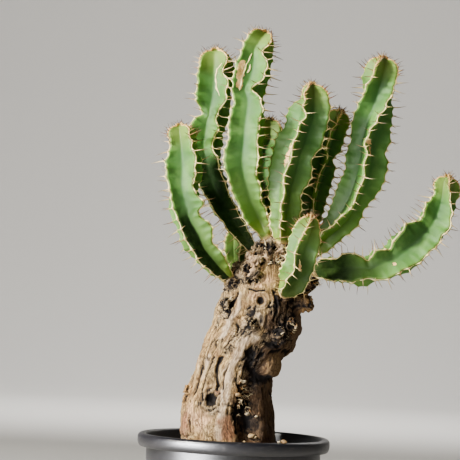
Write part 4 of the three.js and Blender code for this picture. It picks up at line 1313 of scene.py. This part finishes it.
    bloom = np.zeros(len(points))
    for at, level in ROSETTES:
        aside = np.radians(away_from(turn, at)) * radius
        away = np.hypot(aside, height - level) * ragged
        bloom = np.maximum(bloom, gauss(away / 5))
        rings += 0.9 * gauss(away / 6) * np.sin(2 * math.pi * away / 2.1 + 3 * stray[:, 0])
    crumbs = grain(points, 2.7, 10, 2)
    creases = gauss(grain(points + stray[:, :1], 4.4, 17) / 0.13)
    gaps = crown * gauss(grain(points + 2 * stray[:, :1], 8, 41) / 0.1)
    knolls = grain(points, 8, 42)
    lift = 0.5 * pale + 0.5 * lips + 0.8 * rim + 1.5 * grain(points, 13, 11) * (1 - 0.5 * calm)
    lift += 0.6 * grain(slant, 4, 12) * (1 - 0.6 * calm) + 0.5 * grain(points, 5, 18) * (1 - 0.5 * calm)
    lift += 0.75 * rings + rough * (crumbs - 0.8 * creases) + 0.25 * crumbs
    lift += crown * (3 * knolls + grain(points, 4, 43)) + 1.3 * bloom
    lift -= 1.5 * crack + 0.9 * lines + 0.5 * fibres + 1.1 * folds + knot + 0.6 * groove + 1.3 * gaps
    # painted shade in the hollows and low crown spots; painted highlight on the heights and crown knolls
    painted_hollow_shade = smoothstep(-lift, 0.3, 1.7) + 0.4 * crown * smoothstep(-knolls, 0, 0.25)
    high = smoothstep(lift, 0.5, 1.7) * 0.5 + crown * smoothstep(knolls, 0.06, 0.26)
    write_points(mesh, points + normals * (lift * grown)[:, None])

    dark = 1.2 * crack + lines + 0.65 * fibres + 0.6 * folds + 0.3 * knot + 0.4 * groove
    dark -= 0.55 * np.minimum(rings, 0)
    dark += rough * (0.55 * creases + 0.6 * smoothstep(-crumbs, 0.1, 0.5)) + 0.5 * stub_darkening
    # black spots: dark knot holes, and painted shade in the groove, round the lobe and between the necks
    dark += 0.8 * black_and_shaded * (0.7 + 0.6 * ragged) / 1.3
    # the last term is painted shade in the hollows
    dark = dark * (1 - 0.5 * crown) + 0.6 * gaps + 0.35 * painted_hollow_shade
    # pale: bleached wood and knot rims, with a painted highlight on the heights
    pale = np.clip(pale + 0.3 * rim + high, 0, 1)
    crumbly = np.clip(rough + 0.4 * gnarled, 0, 1)
    name_values(mesh, {"dark": dark * grown, "pale": pale, "crumbly": crumbly, "cut": cut,
                       "rusty": rusty, "peachy": peachy, "brown": brown})
    upward = mesh.attributes.new("upward", "FLOAT_VECTOR", "POINT")
    upward.data.foreach_set("vector", (slant * MM).astype(np.float32).ravel())
    mesh.materials.clear()
    mesh.materials.append(finish)
    mesh.polygons.foreach_set("use_smooth", [True] * len(mesh.polygons))
    mesh.name = "bark"
    return linked("bark", mesh)


def bark_finish():
    bark = Finish("bark", IOR=1.4, Specular_IOR_Level=0.36)
    dark, pale, crumbly, cut, rusty, peachy, brown = (
        bark.named(key) for key in ("dark", "pale", "crumbly", "cut", "rusty", "peachy", "brown"))
    upward = bark.node("ShaderNodeAttribute", {"attribute_name": "upward"}).output("Vector")
    broad = bark.noise(19, 3, 0.55)
    patches = bark.noise(6, 4, 0.6, 0.5)
    fibre = bark.noise(1.5, 4, 0.6, 0.3, upward)
    strand = bark.noise(3.2, 3, 0.6, 0.5, upward)
    speck = bark.noise(0.9, 3, 0.7)
    tan = bark.mix(patches.between(0.32, 0.7), shade(146, 116, 80), shade(216, 184, 132))
    tan = bark.mix(broad.between(0.5, 0.68) * 0.45, tan, shade(190, 172, 132))
    tan = bark.mix(fibre.between(0.54, 0.7) * 0.6, tan, shade(122, 92, 60))
    tan = bark.mix(speck.between(0.6, 0.75) * 0.4, tan, shade(242, 228, 194))
    # pale wood: bleached ridges, and a painted highlight where the wood stands high
    bleached_and_highlit = bark.mix(fibre.between(0.3, 0.7), shade(184, 158, 130), shade(248, 230, 206))
    tan = bark.mix(pale * 0.7, tan, bleached_and_highlit)
    peach = bark.mix(fibre, shade(212, 164, 122), shade(242, 208, 172))
    tan = bark.mix((peachy * (0.4 + broad * 0.6)).clip(), tan, peach)
    rust = bark.mix(fibre, shade(118, 76, 54), shade(188, 140, 106))
    tan = bark.mix((rusty * (0.6 + patches * 0.6)).clip(), tan, rust)
    # dusky: the colour of the brown mask, painted shade with the bark's darker tone
    dusky = bark.mix(patches, shade(70, 53, 40), shade(124, 96, 70))
    dusky = bark.mix(fibre.between(0.5, 0.75) * 0.5, dusky, shade(150, 120, 88))
    tan = bark.mix((brown * (0.78 + patches * 0.3)).clip(), tan, dusky)
    crumbs = bark.mix(speck.between(0.42, 0.58), shade(78, 62, 46), shade(228, 210, 176))
    # crumbs are darker too where the brown mask paints shade
    crumbs = bark.mix(brown * 0.6, crumbs, shade(74, 54, 38))
    tan = bark.mix((crumbly * 0.6).clip(), tan, crumbs)
    fresh = bark.mix(fibre, shade(166, 122, 74), shade(222, 186, 132))
    tan = bark.mix((cut * 0.75).clip(), tan, fresh)
    stir = bark.noise(4, 3, 0.6).output("Color")
    stirred = {0: stir, 1: (0.0035, 0.0035, 0.0035), 2: bark.scaled(upward, (1, 1, 2.2))}
    stirred = bark.node("ShaderNodeVectorMath", {"operation": "MULTIPLY_ADD"}, stirred)
    seam = (1 - bark.cell_edges(2.4, stirred).between(0.0, 0.1)) * patches.between(0.35, 0.6)
    tan = bark.mix((seam * (1 - pale * 0.6) * 0.7).clip(), tan, shade(66, 46, 30))
    line = 1 - (strand - 0.5).math("ABSOLUTE").between(0.01, 0.05)
    tan = bark.mix((line * (1 - pale * 0.5) * 0.65).clip(), tan, shade(74, 54, 38))
    tan = bark.mix((dark * (0.7 + speck * 0.6)).clip(), tan, shade(26, 18, 13))
    relief = fibre * 0.6 + speck * 0.4 + patches * 0.3 - line * 0.5 - seam * 0.6
    rough = 0.78 + speck * 0.15
    return bark.done(Base_Color=tan, Roughness=rough, Normal=bark.bump(relief, 0.6, 0.85))


# Tufts of dry thorns on the wood: middle, radius, number and longest thorn.
TUFTS = [
    ((18, -10, 270), 12, 26, 6), ((6, -10, 258), 10, 12, 4), ((29, -8, 272), 9, 44, 7),
    ((-12, -19, 233), 6, 8, 3), ((8, -34, 217), 7, 14, 3), ((32, -28, 209), 7, 12, 3.5),
    ((42, -21, 218), 7, 12, 3.5), ((56, -4, 255), 9, 44, 6), ((8, -28, 160), 7, 40, 5),
    ((9, -27, 168), 5, 16, 4), ((10, 16, 262), 14, 70, 5), ((24, 16, 258), 13, 60, 5),
    ((22, 33, 178), 7, 26, 3), ((-2, 33, 217), 7, 26, 3), ((-8, -2, 246), 9, 40, 4),
    ((52, 2, 266), 9, 40, 4), ((44, -10, 252), 8, 30, 4),
]

# Pale curled husks in the trunk's groove: direction, height and length. Rosettes of husks on its knots:
# direction and height.
HUSKS = [
    (14, 173, 4), (21, 167, 3.5), (16, 168, 4), (20, 163, 4), (15, 160, 3), (19, 158, 4),
    (23, 156, 3.5), (18, 154, 4), (20, 151, 5), (16, 151, 3), (24, 150, 3), (19, 147, 4), (22, 165, 3),
    (17, 156, 3), (25, 161, 4), (27, 153, 3.5),
]
ROSETTES = [(32, 211), (48, 217), (-50, 235), (150, 190), (-130, 214)]
ROSETTE_HUSKS = 15
ROSETTE_RADIUS = 2.8


def on_wood(points, direction, height):
    """Index of the wood's point next to a direction and height."""
    middle, way = skin_at(direction, height)
    return np.argmin(np.linalg.norm(points - middle - way, axis=1))


def make_husks(wood, tree, finish):
    """Curled dry scraps in the groove of the trunk and in rosettes on its knots."""
    rng = np.random.default_rng([SEED, 510])
    points, normals = read_points(wood.data), read_normals(wood.data)
    roots, aims, sizes = [], [], []
    for direction, height, length in HUSKS:
        nearest = on_wood(points, direction, height)
        for _ in range(2):
            roots.append(points[nearest] + rng.normal(0, 0.7, 3) * (1, 0.2, 1))
            aims.append(unit(normals[nearest] * 0.5 + rng.normal(0, 0.8, 3)))
            sizes.append(length * rng.uniform(0.7, 1.1))
    for direction, height in ROSETTES:
        nearest = on_wood(points, direction, height)
        out = normals[nearest]
        side = unit(np.cross(out, (0, 0, 1.0)))
        for i in range(ROSETTE_HUSKS):
            round_about = 2 * math.pi * i / ROSETTE_HUSKS
            spoke = side * math.cos(round_about) + np.cross(out, side) * math.sin(round_about)
            roots.append(points[nearest] + spoke * ROSETTE_RADIUS)
            aims.append(unit(out * 0.45 + np.cross(out, spoke) + spoke * 0.5))
            sizes.append(rng.uniform(3.2, 4.8))
    return make_thorns("husks", roots, aims, sizes, np.zeros(len(sizes)), tree, finish)


def make_tufts(wood, tree, finish):
    """Dry thorns on the wood's scars and crown and in its groove."""
    rng = np.random.default_rng([SEED, 500])
    points, normals = read_points(wood.data), read_normals(wood.data)
    roots, aims, sizes = [], [], []
    for middle, radius, count, longest in TUFTS:
        near = np.flatnonzero(np.linalg.norm(points - middle, axis=1) < radius)
        chosen = rng.choice(near, min(count, len(near)), replace=False)
        roots.append(points[chosen])
        aims.append(unit(normals[chosen] + rng.normal(0, 0.55, (len(chosen), 3))))
        sizes.append(rng.uniform(0.3, 1, len(chosen)) * longest)
    sizes = np.concatenate(sizes)
    young = np.zeros(len(sizes))
    return make_thorns("dry_thorns", np.vstack(roots), np.vstack(aims), sizes, young, tree, finish)


SOIL_SIDES = 144
SOIL_RING = 1.5
SOIL_LUMPS = [(9, 1, 1.3), (3, 2, 0.8)]    # size, seed and height
GRIT_SIZES = (0.9, 3.4)
GRIT_PER_SQUARE = 0.34     # grains on a square millimetre
STONE_RINGS, STONE_SIDES = 9, 12
STONE_STRETCH = (1.25, 1, 0.8)
STONE_POLE = 0.12          # radians from a grain's pole to its first ring
STONE_SINK = 0.35          # share of its radius by which a grain's middle stands out of the wood

# Loose pale grains: x, y, z, radius and hue. Those caught on the wood: direction, height, radius and hue.
STONES = [
    (12, -40, 123.8, 2.2, 0.95), (3, -41, 123.6, 2.0, 0.97), (37, -61.3, 131.1, 1.8, 0.8),
    (33.4, -62.6, 130.8, 1.0, 0.98),
]
WOOD_GRAINS = [
    (20, 172, 1.8, 0.99), (21, 149, 1.7, 0.97), (13, 163, 2.1, 0.82), (26, 133, 2.5, 0.85),
    (31, 131, 1.4, 0.92), (22, 129, 1.3, 0.9), (36, 147, 1.0, 0.95), (-150, 131, 1.8, 0.9),
    (170, 166, 1.5, 0.94), (120, 133, 1.6, 0.9),
]


def pot_inside(height):
    """Inner radius of the pot's wall."""
    share = height / (POT_HEIGHT - LIP_HEIGHT)
    return POT_BASE_RADIUS + (POT_BODY_RADIUS - POT_BASE_RADIUS) * share - POT_WALL


def make_soil(finish):
    """The soil that fills the pot, uneven on top."""
    low, wall = POT_FLOOR + GAP, pot_inside(SOIL_AT_WALL) - 2 * GAP
    circle = circle_of(SOIL_SIDES)
    rings = [circle * (pot_inside(low) - 2 * GAP) + (0, 0, low), circle * wall + (0, 0, SOIL_AT_WALL - 1)]
    for radius in np.arange(wall - 0.4, 3, -SOIL_RING):
        level = SOIL_AT_CAUDEX + (SOIL_AT_WALL - SOIL_AT_CAUDEX) * smoothstep(radius, *SOIL_SLOPE)
        ring = circle * radius + (0, 0, level)
        ring[:, 2] += lumps(ring, SOIL_LUMPS)
        rings.append(ring)
    points, faces = tube(rings)
    return mesh_piece("soil_bed", points, faces, finish)


def grit_tree(finish):
    """Grains scattered over the upward faces of the soil."""
    smallest, largest = (size * MM for size in GRIT_SIZES)
    sizes = {"Density": GRIT_PER_SQUARE / MM ** 2, "Smallest": smallest, "Largest": largest, "Seed": SEED,
             "Finish": finish}
    tree = Modifier("grit", sizes)
    normal = tree.node("GeometryNodeInputNormal")
    upward = tree.node("ShaderNodeSeparateXYZ", None, {0: normal}, 2).math("GREATER_THAN", 0.6)
    grains = {"Mesh": tree.geometry, "Selection": upward, "Density": tree.size("Density"),
              "Seed": tree.size("Seed")}
    grains = tree.node("GeometryNodeDistributePointsOnFaces", {"distribute_method": "RANDOM"}, grains)
    stone = tree.node("GeometryNodeMeshIcoSphere", None, {"Radius": 0.5, "Subdivisions": 1})
    place = tree.node("GeometryNodeInputPosition")
    bumps = tree.node("ShaderNodeTexNoise", {"noise_dimensions": "3D"}, {"Vector": place, "Scale": 2.2}, 1)
    shift = tree.node("ShaderNodeVectorMath", {"operation": "SUBTRACT"}, {0: bumps, 1: (0.5, 0.5, 0.5)})
    shift = tree.scaled(shift, (0.7, 0.7, 0.7))
    stone = tree.node("GeometryNodeSetPosition", None, {"Geometry": stone, "Offset": shift})
    seed = tree.size("Seed")
    part = tree.random(seed + 1)
    size = tree.size("Smallest") + (tree.size("Largest") - tree.size("Smallest")) * part ** 3
    squash = tree.random(seed + 2, {0: (0.7, 0.6, 0.45), 1: (1.2, 1.0, 0.8)}, "FLOAT_VECTOR")
    scale = tree.node("ShaderNodeVectorMath", {"operation": "SCALE"}, {0: squash, "Scale": size})
    turn = tree.random(seed + 3, {0: (-0.5, -0.5, 0), 1: (0.5, 0.5, 2 * math.pi)}, "FLOAT_VECTOR")
    copies = {"Points": grains, "Instance": stone, "Rotation": turn, "Scale": scale}
    copies = tree.node("GeometryNodeInstanceOnPoints", None, copies)
    tree.finish(tree.stored(copies, "hue", tree.random(seed + 4), "INSTANCE"))
    return tree


def make_grit(finish):
    """Loose grains on the soil."""
    carrier = make_soil(finish)
    carrier.name = "grit_bed"
    return grit_tree(finish).apply(carrier, "grit", finish)


def make_stones(wood, finish):
    """Larger pale grains on the soil, on the pot's lip and caught on the wood."""
    points, normals = read_points(wood.data), read_normals(wood.data)
    stones = list(STONES)
    for direction, height, radius, hue in WOOD_GRAINS:
        nearest = on_wood(points, direction, height)
        stones.append((*(points[nearest] + normals[nearest] * radius * STONE_SINK), radius, hue))
    circle = circle_of(STONE_SIDES)
    polar = np.linspace(STONE_POLE, math.pi - STONE_POLE, STONE_RINGS)
    ball = np.vstack([circle * math.sin(turn) - (0, 0, math.cos(turn)) for turn in polar]) * STONE_STRETCH
    parts = []
    for index, (x, y, z, radius, hue) in enumerate(stones):
        lumpy = ball * (1 + 0.4 * grain(ball, 0.9, index))[:, None]
        points, faces = tube((lumpy * radius + (x, y, z)).reshape(STONE_RINGS, STONE_SIDES, 3))
        parts.append((points, faces, {"hue": np.full(len(points), hue)}))
    points, faces, values = joined(parts)
    return mesh_piece("pale_stones", points, faces, finish, values)


def grit_finish():
    grit = Finish("grit", IOR=1.45)
    hue = grit.named("hue")
    speck = grit.noise(0.7, 3, 0.65)
    stops = [(0.0, shade(46, 34, 24)), (0.35, shade(92, 68, 46)), (0.6, shade(132, 104, 74)),
             (0.8, shade(168, 138, 98)), (0.92, shade(206, 184, 142)), (1.0, shade(228, 214, 186))]
    ramp = grit.node("ShaderNodeValToRGB", {"stops": stops}, {"Fac": hue})
    coloured = grit.mix(speck * 0.45, ramp, shade(64, 46, 32))
    return grit.done(Base_Color=coloured, Roughness=0.85 + speck * 0.1, Normal=grit.bump(speck, 0.3, 0.8))


def soil_finish():
    soil = Finish("soil", IOR=1.4)
    speck, clump = soil.noise(0.8, 3, 0.7), soil.noise(5, 3)
    coloured = soil.mix(speck, shade(40, 29, 20), shade(96, 72, 50))
    coloured = soil.mix(clump.between(0.5, 0.7) * 0.4, coloured, shade(58, 42, 30))
    return soil.done(Base_Color=coloured, Roughness=0.9 + speck * 0.08, Normal=soil.bump(speck, 0.6, 1.0))


POT_SIDES = 160
DRAIN_HOLES = 6
DRAIN_RADIUS = 5
DRAIN_AT = 35
DRAIN_SIDES = 28
SHARP_DEG = 38             # the pot's edges that stay sharp bend by more than this


def arc(middle, radius, start, end, steps):
    """Points of an arc in a profile, from one angle to another in degrees."""
    angles = np.radians(np.linspace(start, end, steps))
    return [(middle[0] + radius * math.cos(a), middle[1] + radius * math.sin(a)) for a in angles]


def turned(profile, sides, closed_ends=True):
    """Points and faces of a skin turned round the axis from its profile of radius and height."""
    return tube([circle_of(sides) * radius + (0, 0, height) for radius, height in profile], closed_ends)


def make_pot(finish):
    """The plastic nursery pot: ringed underside, tapering body, hollow rolled lip and drain holes."""
    top, lip = POT_HEIGHT, POT_HEIGHT - LIP_HEIGHT
    rim, body = POT_RIM_RADIUS, POT_BODY_RADIUS
    inner_foot, outer_foot = POT_BASE_RADIUS - 30, POT_BASE_RADIUS - 2
    profile = [
        (0.5, 0), (inner_foot, 0), (inner_foot + 1.5, FOOT_RECESS), (outer_foot - 7, FOOT_RECESS),
        (outer_foot - 5.5, 0), (outer_foot - 0.6, 0),
        *arc((outer_foot - 0.4, 2.6), 2.6, -80, -8, 5),
        *[(pot_inside(height) + POT_WALL, height) for height in range(8, 107, 7)],
        (body - 1.4, 107.2), (body - 0.5, 108.4), (body - 0.15, 110),
        (body, 114), (body, lip - 1), (body + 0.3, lip + 6.2),
        *arc((body + 1.1, lip + 5.8), 0.8, 150, 90, 3),
        *arc((rim - 3.4, lip + 5.8), 0.8, 90, 10, 3),
        (rim - 2.4, lip + 0.6),
        *arc((rim - 1.8, lip + 0.6), 0.6, 200, 340, 5),
        (rim - 0.6, lip + 1.6), (rim - 0.2, lip + 2.8), (rim, lip + 4.4), (rim, lip + 5.8),
        *arc((rim - 3.1, top - 3.1), 3.1, 0, 90, 8),
        *arc((rim - 4.2, top - 2.4), 2.4, 96, 176, 6),
        (pot_inside(lip) + 0.5, lip - 2), (pot_inside(lip * 0.5), lip * 0.5),
        (pot_inside(POT_FLOOR) + 0.3, POT_FLOOR + 1.5), (pot_inside(POT_FLOOR) - 1.5, POT_FLOOR),
        (0.5, POT_FLOOR),
    ]
    points, faces = turned(profile, POT_SIDES)
    pot = mesh_piece("nursery_pot", points, faces, finish)
    drills = []
    for i in range(DRAIN_HOLES):
        angle = (i + 0.5) / DRAIN_HOLES * 2 * math.pi
        x, y = DRAIN_AT * math.cos(angle), DRAIN_AT * math.sin(angle)
        stops = [(0, DRAIN_RADIUS), (POT_FLOOR + 4, DRAIN_RADIUS)]
        rings = bar_rings((x, y, -2), (x, y, POT_FLOOR + 2), stops, DRAIN_SIDES)
        drills.append((*tube(rings), {}))
    drill = mesh_piece("drill", *joined(drills)[:2], finish)
    cut = pot.modifiers.new("drain", "BOOLEAN")
    cut.operation, cut.object, cut.solver = "DIFFERENCE", drill, "EXACT"
    mesh = plain_mesh(pot)
    pot.modifiers.remove(cut)
    bpy.data.objects.remove(drill)
    pot.data = mesh
    mesh.name = "nursery_pot"
    mesh.set_sharp_from_angle(angle=math.radians(SHARP_DEG))
    return pot


def pot_finish():
    plastic = Finish("plastic", IOR=1.5, Specular_IOR_Level=1.0)
    cloud = plastic.noise(38, 3, 0.55)
    scuff = plastic.noise(5, 5, 0.7, 0.0, plastic.scaled(plastic.place, (1, 1, 3.5)))
    speck = plastic.noise(1.3, 2, 0.6)
    height = plastic.node("ShaderNodeSeparateXYZ", None, {0: plastic.place}, 2) / MM
    grey = plastic.mix(cloud, shade(20, 20, 27), shade(30, 30, 40))
    dust = (height.between(POT_HEIGHT - 14, POT_HEIGHT) * 0.3 + 0.12) * scuff.between(0.52, 0.72)
    low_dust = (1 - height.between(2, 26)) * cloud.between(0.4, 0.7) * 0.3
    grey = plastic.mix((dust * 0.7 + low_dust).clip(), grey, shade(104, 96, 86))
    grey = plastic.mix(speck.between(0.745, 0.77) * 0.6, grey, shade(170, 164, 154))
    rough = 0.29 + scuff * 0.12 + dust * 0.4
    relief = scuff * 0.5 + speck * 0.3
    return plastic.done(Base_Color=grey, Roughness=rough, Normal=plastic.bump(relief, 0.12, 0.5))


# The picture: camera, stage and lights, in metres.
EYE = Vector((-0.009707, -1.3, 0.221))
TARGET = Vector((-0.009707, 0, 0.290336))
ROLL_DEG = 2.4
LENS = 129.55
SENSOR = 36
FLOOR_RADIUS = 3.2
WALL_RADIUS = 5.2
WALL_HEIGHT = 3.4
STAGE_SIDES = 96
PLANT = (0.02, 0, 0.26)
WALL = (0, 5, 0.2)

# Lights: name, place, aim, width and height, power, colour.
LIGHTS = [
    ("key", (-1.56, -0.88, 1.31), PLANT, (0.32, 0.32), 92, (1.0, 0.97, 0.88)),
    ("side", (-1.25, -1.35, 1.15), PLANT, (1.3, 0.5), 20, (1.0, 0.98, 0.95)),
    ("sheen", (-1.62, -1.28, 0.24), PLANT, (1.3, 0.4), 175, (0.97, 0.97, 1.0)),
    ("fill", (1.4, -1.7, 0.6), PLANT, (1.6, 1.6), 0.8, (0.94, 0.97, 1.0)),
    ("back", (0.9, 1.5, 1.5), PLANT, (1.0, 1.0), 7, (1.0, 0.98, 0.95)),
    ("wall", (0, 2.2, 1.5), WALL, (1.8, 1.8), 54, (1.0, 0.99, 0.97)),
]
ONLY_MIRRORED = ("sheen",)     # lights that show in glossy surfaces but light nothing else
WORLD = (0.82, 0.84, 0.88, 1.0)
WORLD_STRENGTH = 0.055
VIEW_LOOK = "AgX - Medium High Contrast"


def make_camera():
    data = bpy.data.cameras.new("camera")
    data.lens, data.sensor_width, data.sensor_fit = LENS, SENSOR, "HORIZONTAL"
    data.clip_end = 40
    camera = linked("camera", data)
    camera.location = EYE
    camera.rotation_mode = "QUATERNION"
    roll = Quaternion((0, 0, 1), math.radians(ROLL_DEG))
    camera.rotation_quaternion = (TARGET - EYE).to_track_quat("-Z", "Y") @ roll
    bpy.context.scene.camera = camera


def make_stage():
    """A pale round floor that curves up into a wall."""
    stage = Finish("stage", Roughness=0.9, Base_Color=shade(202, 200, 197))
    bend = WALL_RADIUS - FLOOR_RADIUS
    profile = [(0.02, 0), (1, 0), *arc((FLOOR_RADIUS, bend), bend, -90, 0, 12), (WALL_RADIUS, WALL_HEIGHT)]
    points, faces = turned(np.array(profile) / MM, STAGE_SIDES, closed_ends=False)
    faces.append(list(range(STAGE_SIDES)))
    floor = mesh_piece("floor", points, faces, stage.material)


def make_lights():
    for name, place, aim, size, power, colour in LIGHTS:
        data = bpy.data.lights.new(name, "AREA")
        data.shape, data.energy, data.color = "RECTANGLE", power, colour
        data.size, data.size_y = size
        lamp = linked(name, data)
        lamp.location = place
        lamp.rotation_mode = "QUATERNION"
        lamp.rotation_quaternion = (Vector(aim) - Vector(place)).to_track_quat("-Z", "Y")
        lamp.visible_camera = False
        lamp.visible_diffuse = name not in ONLY_MIRRORED
    world = bpy.data.worlds.new("world")
    world.use_nodes = True
    background = world.node_tree.nodes["Background"]
    background.inputs["Color"].default_value = WORLD
    background.inputs["Strength"].default_value = WORLD_STRENGTH
    bpy.context.scene.world = world
    bpy.context.scene.view_settings.look = VIEW_LOOK


def fasten(piece, slot, *nodes):
    """Fastens a piece to the plant, in place of the plain nodes that it stands for."""
    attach(piece, "root")
    if nodes:
        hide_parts(*nodes)


for index, stem in enumerate(STEMS):
    stem.index = index

flesh, horn, thorn, dry = flesh_finish(), horn_finish(), spine_finish(), dry_finish()
bark, grit = bark_finish(), grit_finish()
fresh_thorns = spine_tree(thorn, thickness=0.047, bend=0.09, seed=3)
dry_thorns = spine_tree(dry, thickness=0.06, bend=0.3, seed=5)
curls = spine_tree(dry, thickness=0.15, bend=0.6, seed=8)

skins = {}
for stem in STEMS:
    skins[stem.name] = make_flesh(stem, flesh)
    fasten(skins[stem.name], "flesh", f"stem_{stem.name}")
    fasten(make_margins(stem, horn), "margin", f"margin_{stem.name}")
    fasten(make_thorns(f"thorns_{stem.name}", *spine_roots(stem), fresh_thorns, thorn), "margin")

fasten(make_cork_lines(skins, horn), "margin")
wood = make_caudex(STEMS, bark)
fasten(wood, "bark", "caudex")
fasten(make_tufts(wood, dry_thorns, dry), "margin")
fasten(make_husks(wood, curls, dry), "margin")
fasten(make_soil(soil_finish()), "soil", "soil")
fasten(make_grit(grit), "soil")
fasten(make_stones(wood, grit), "soil")
fasten(make_pot(pot_finish()), "pot", "pot")

make_camera()
make_stage()
make_lights()
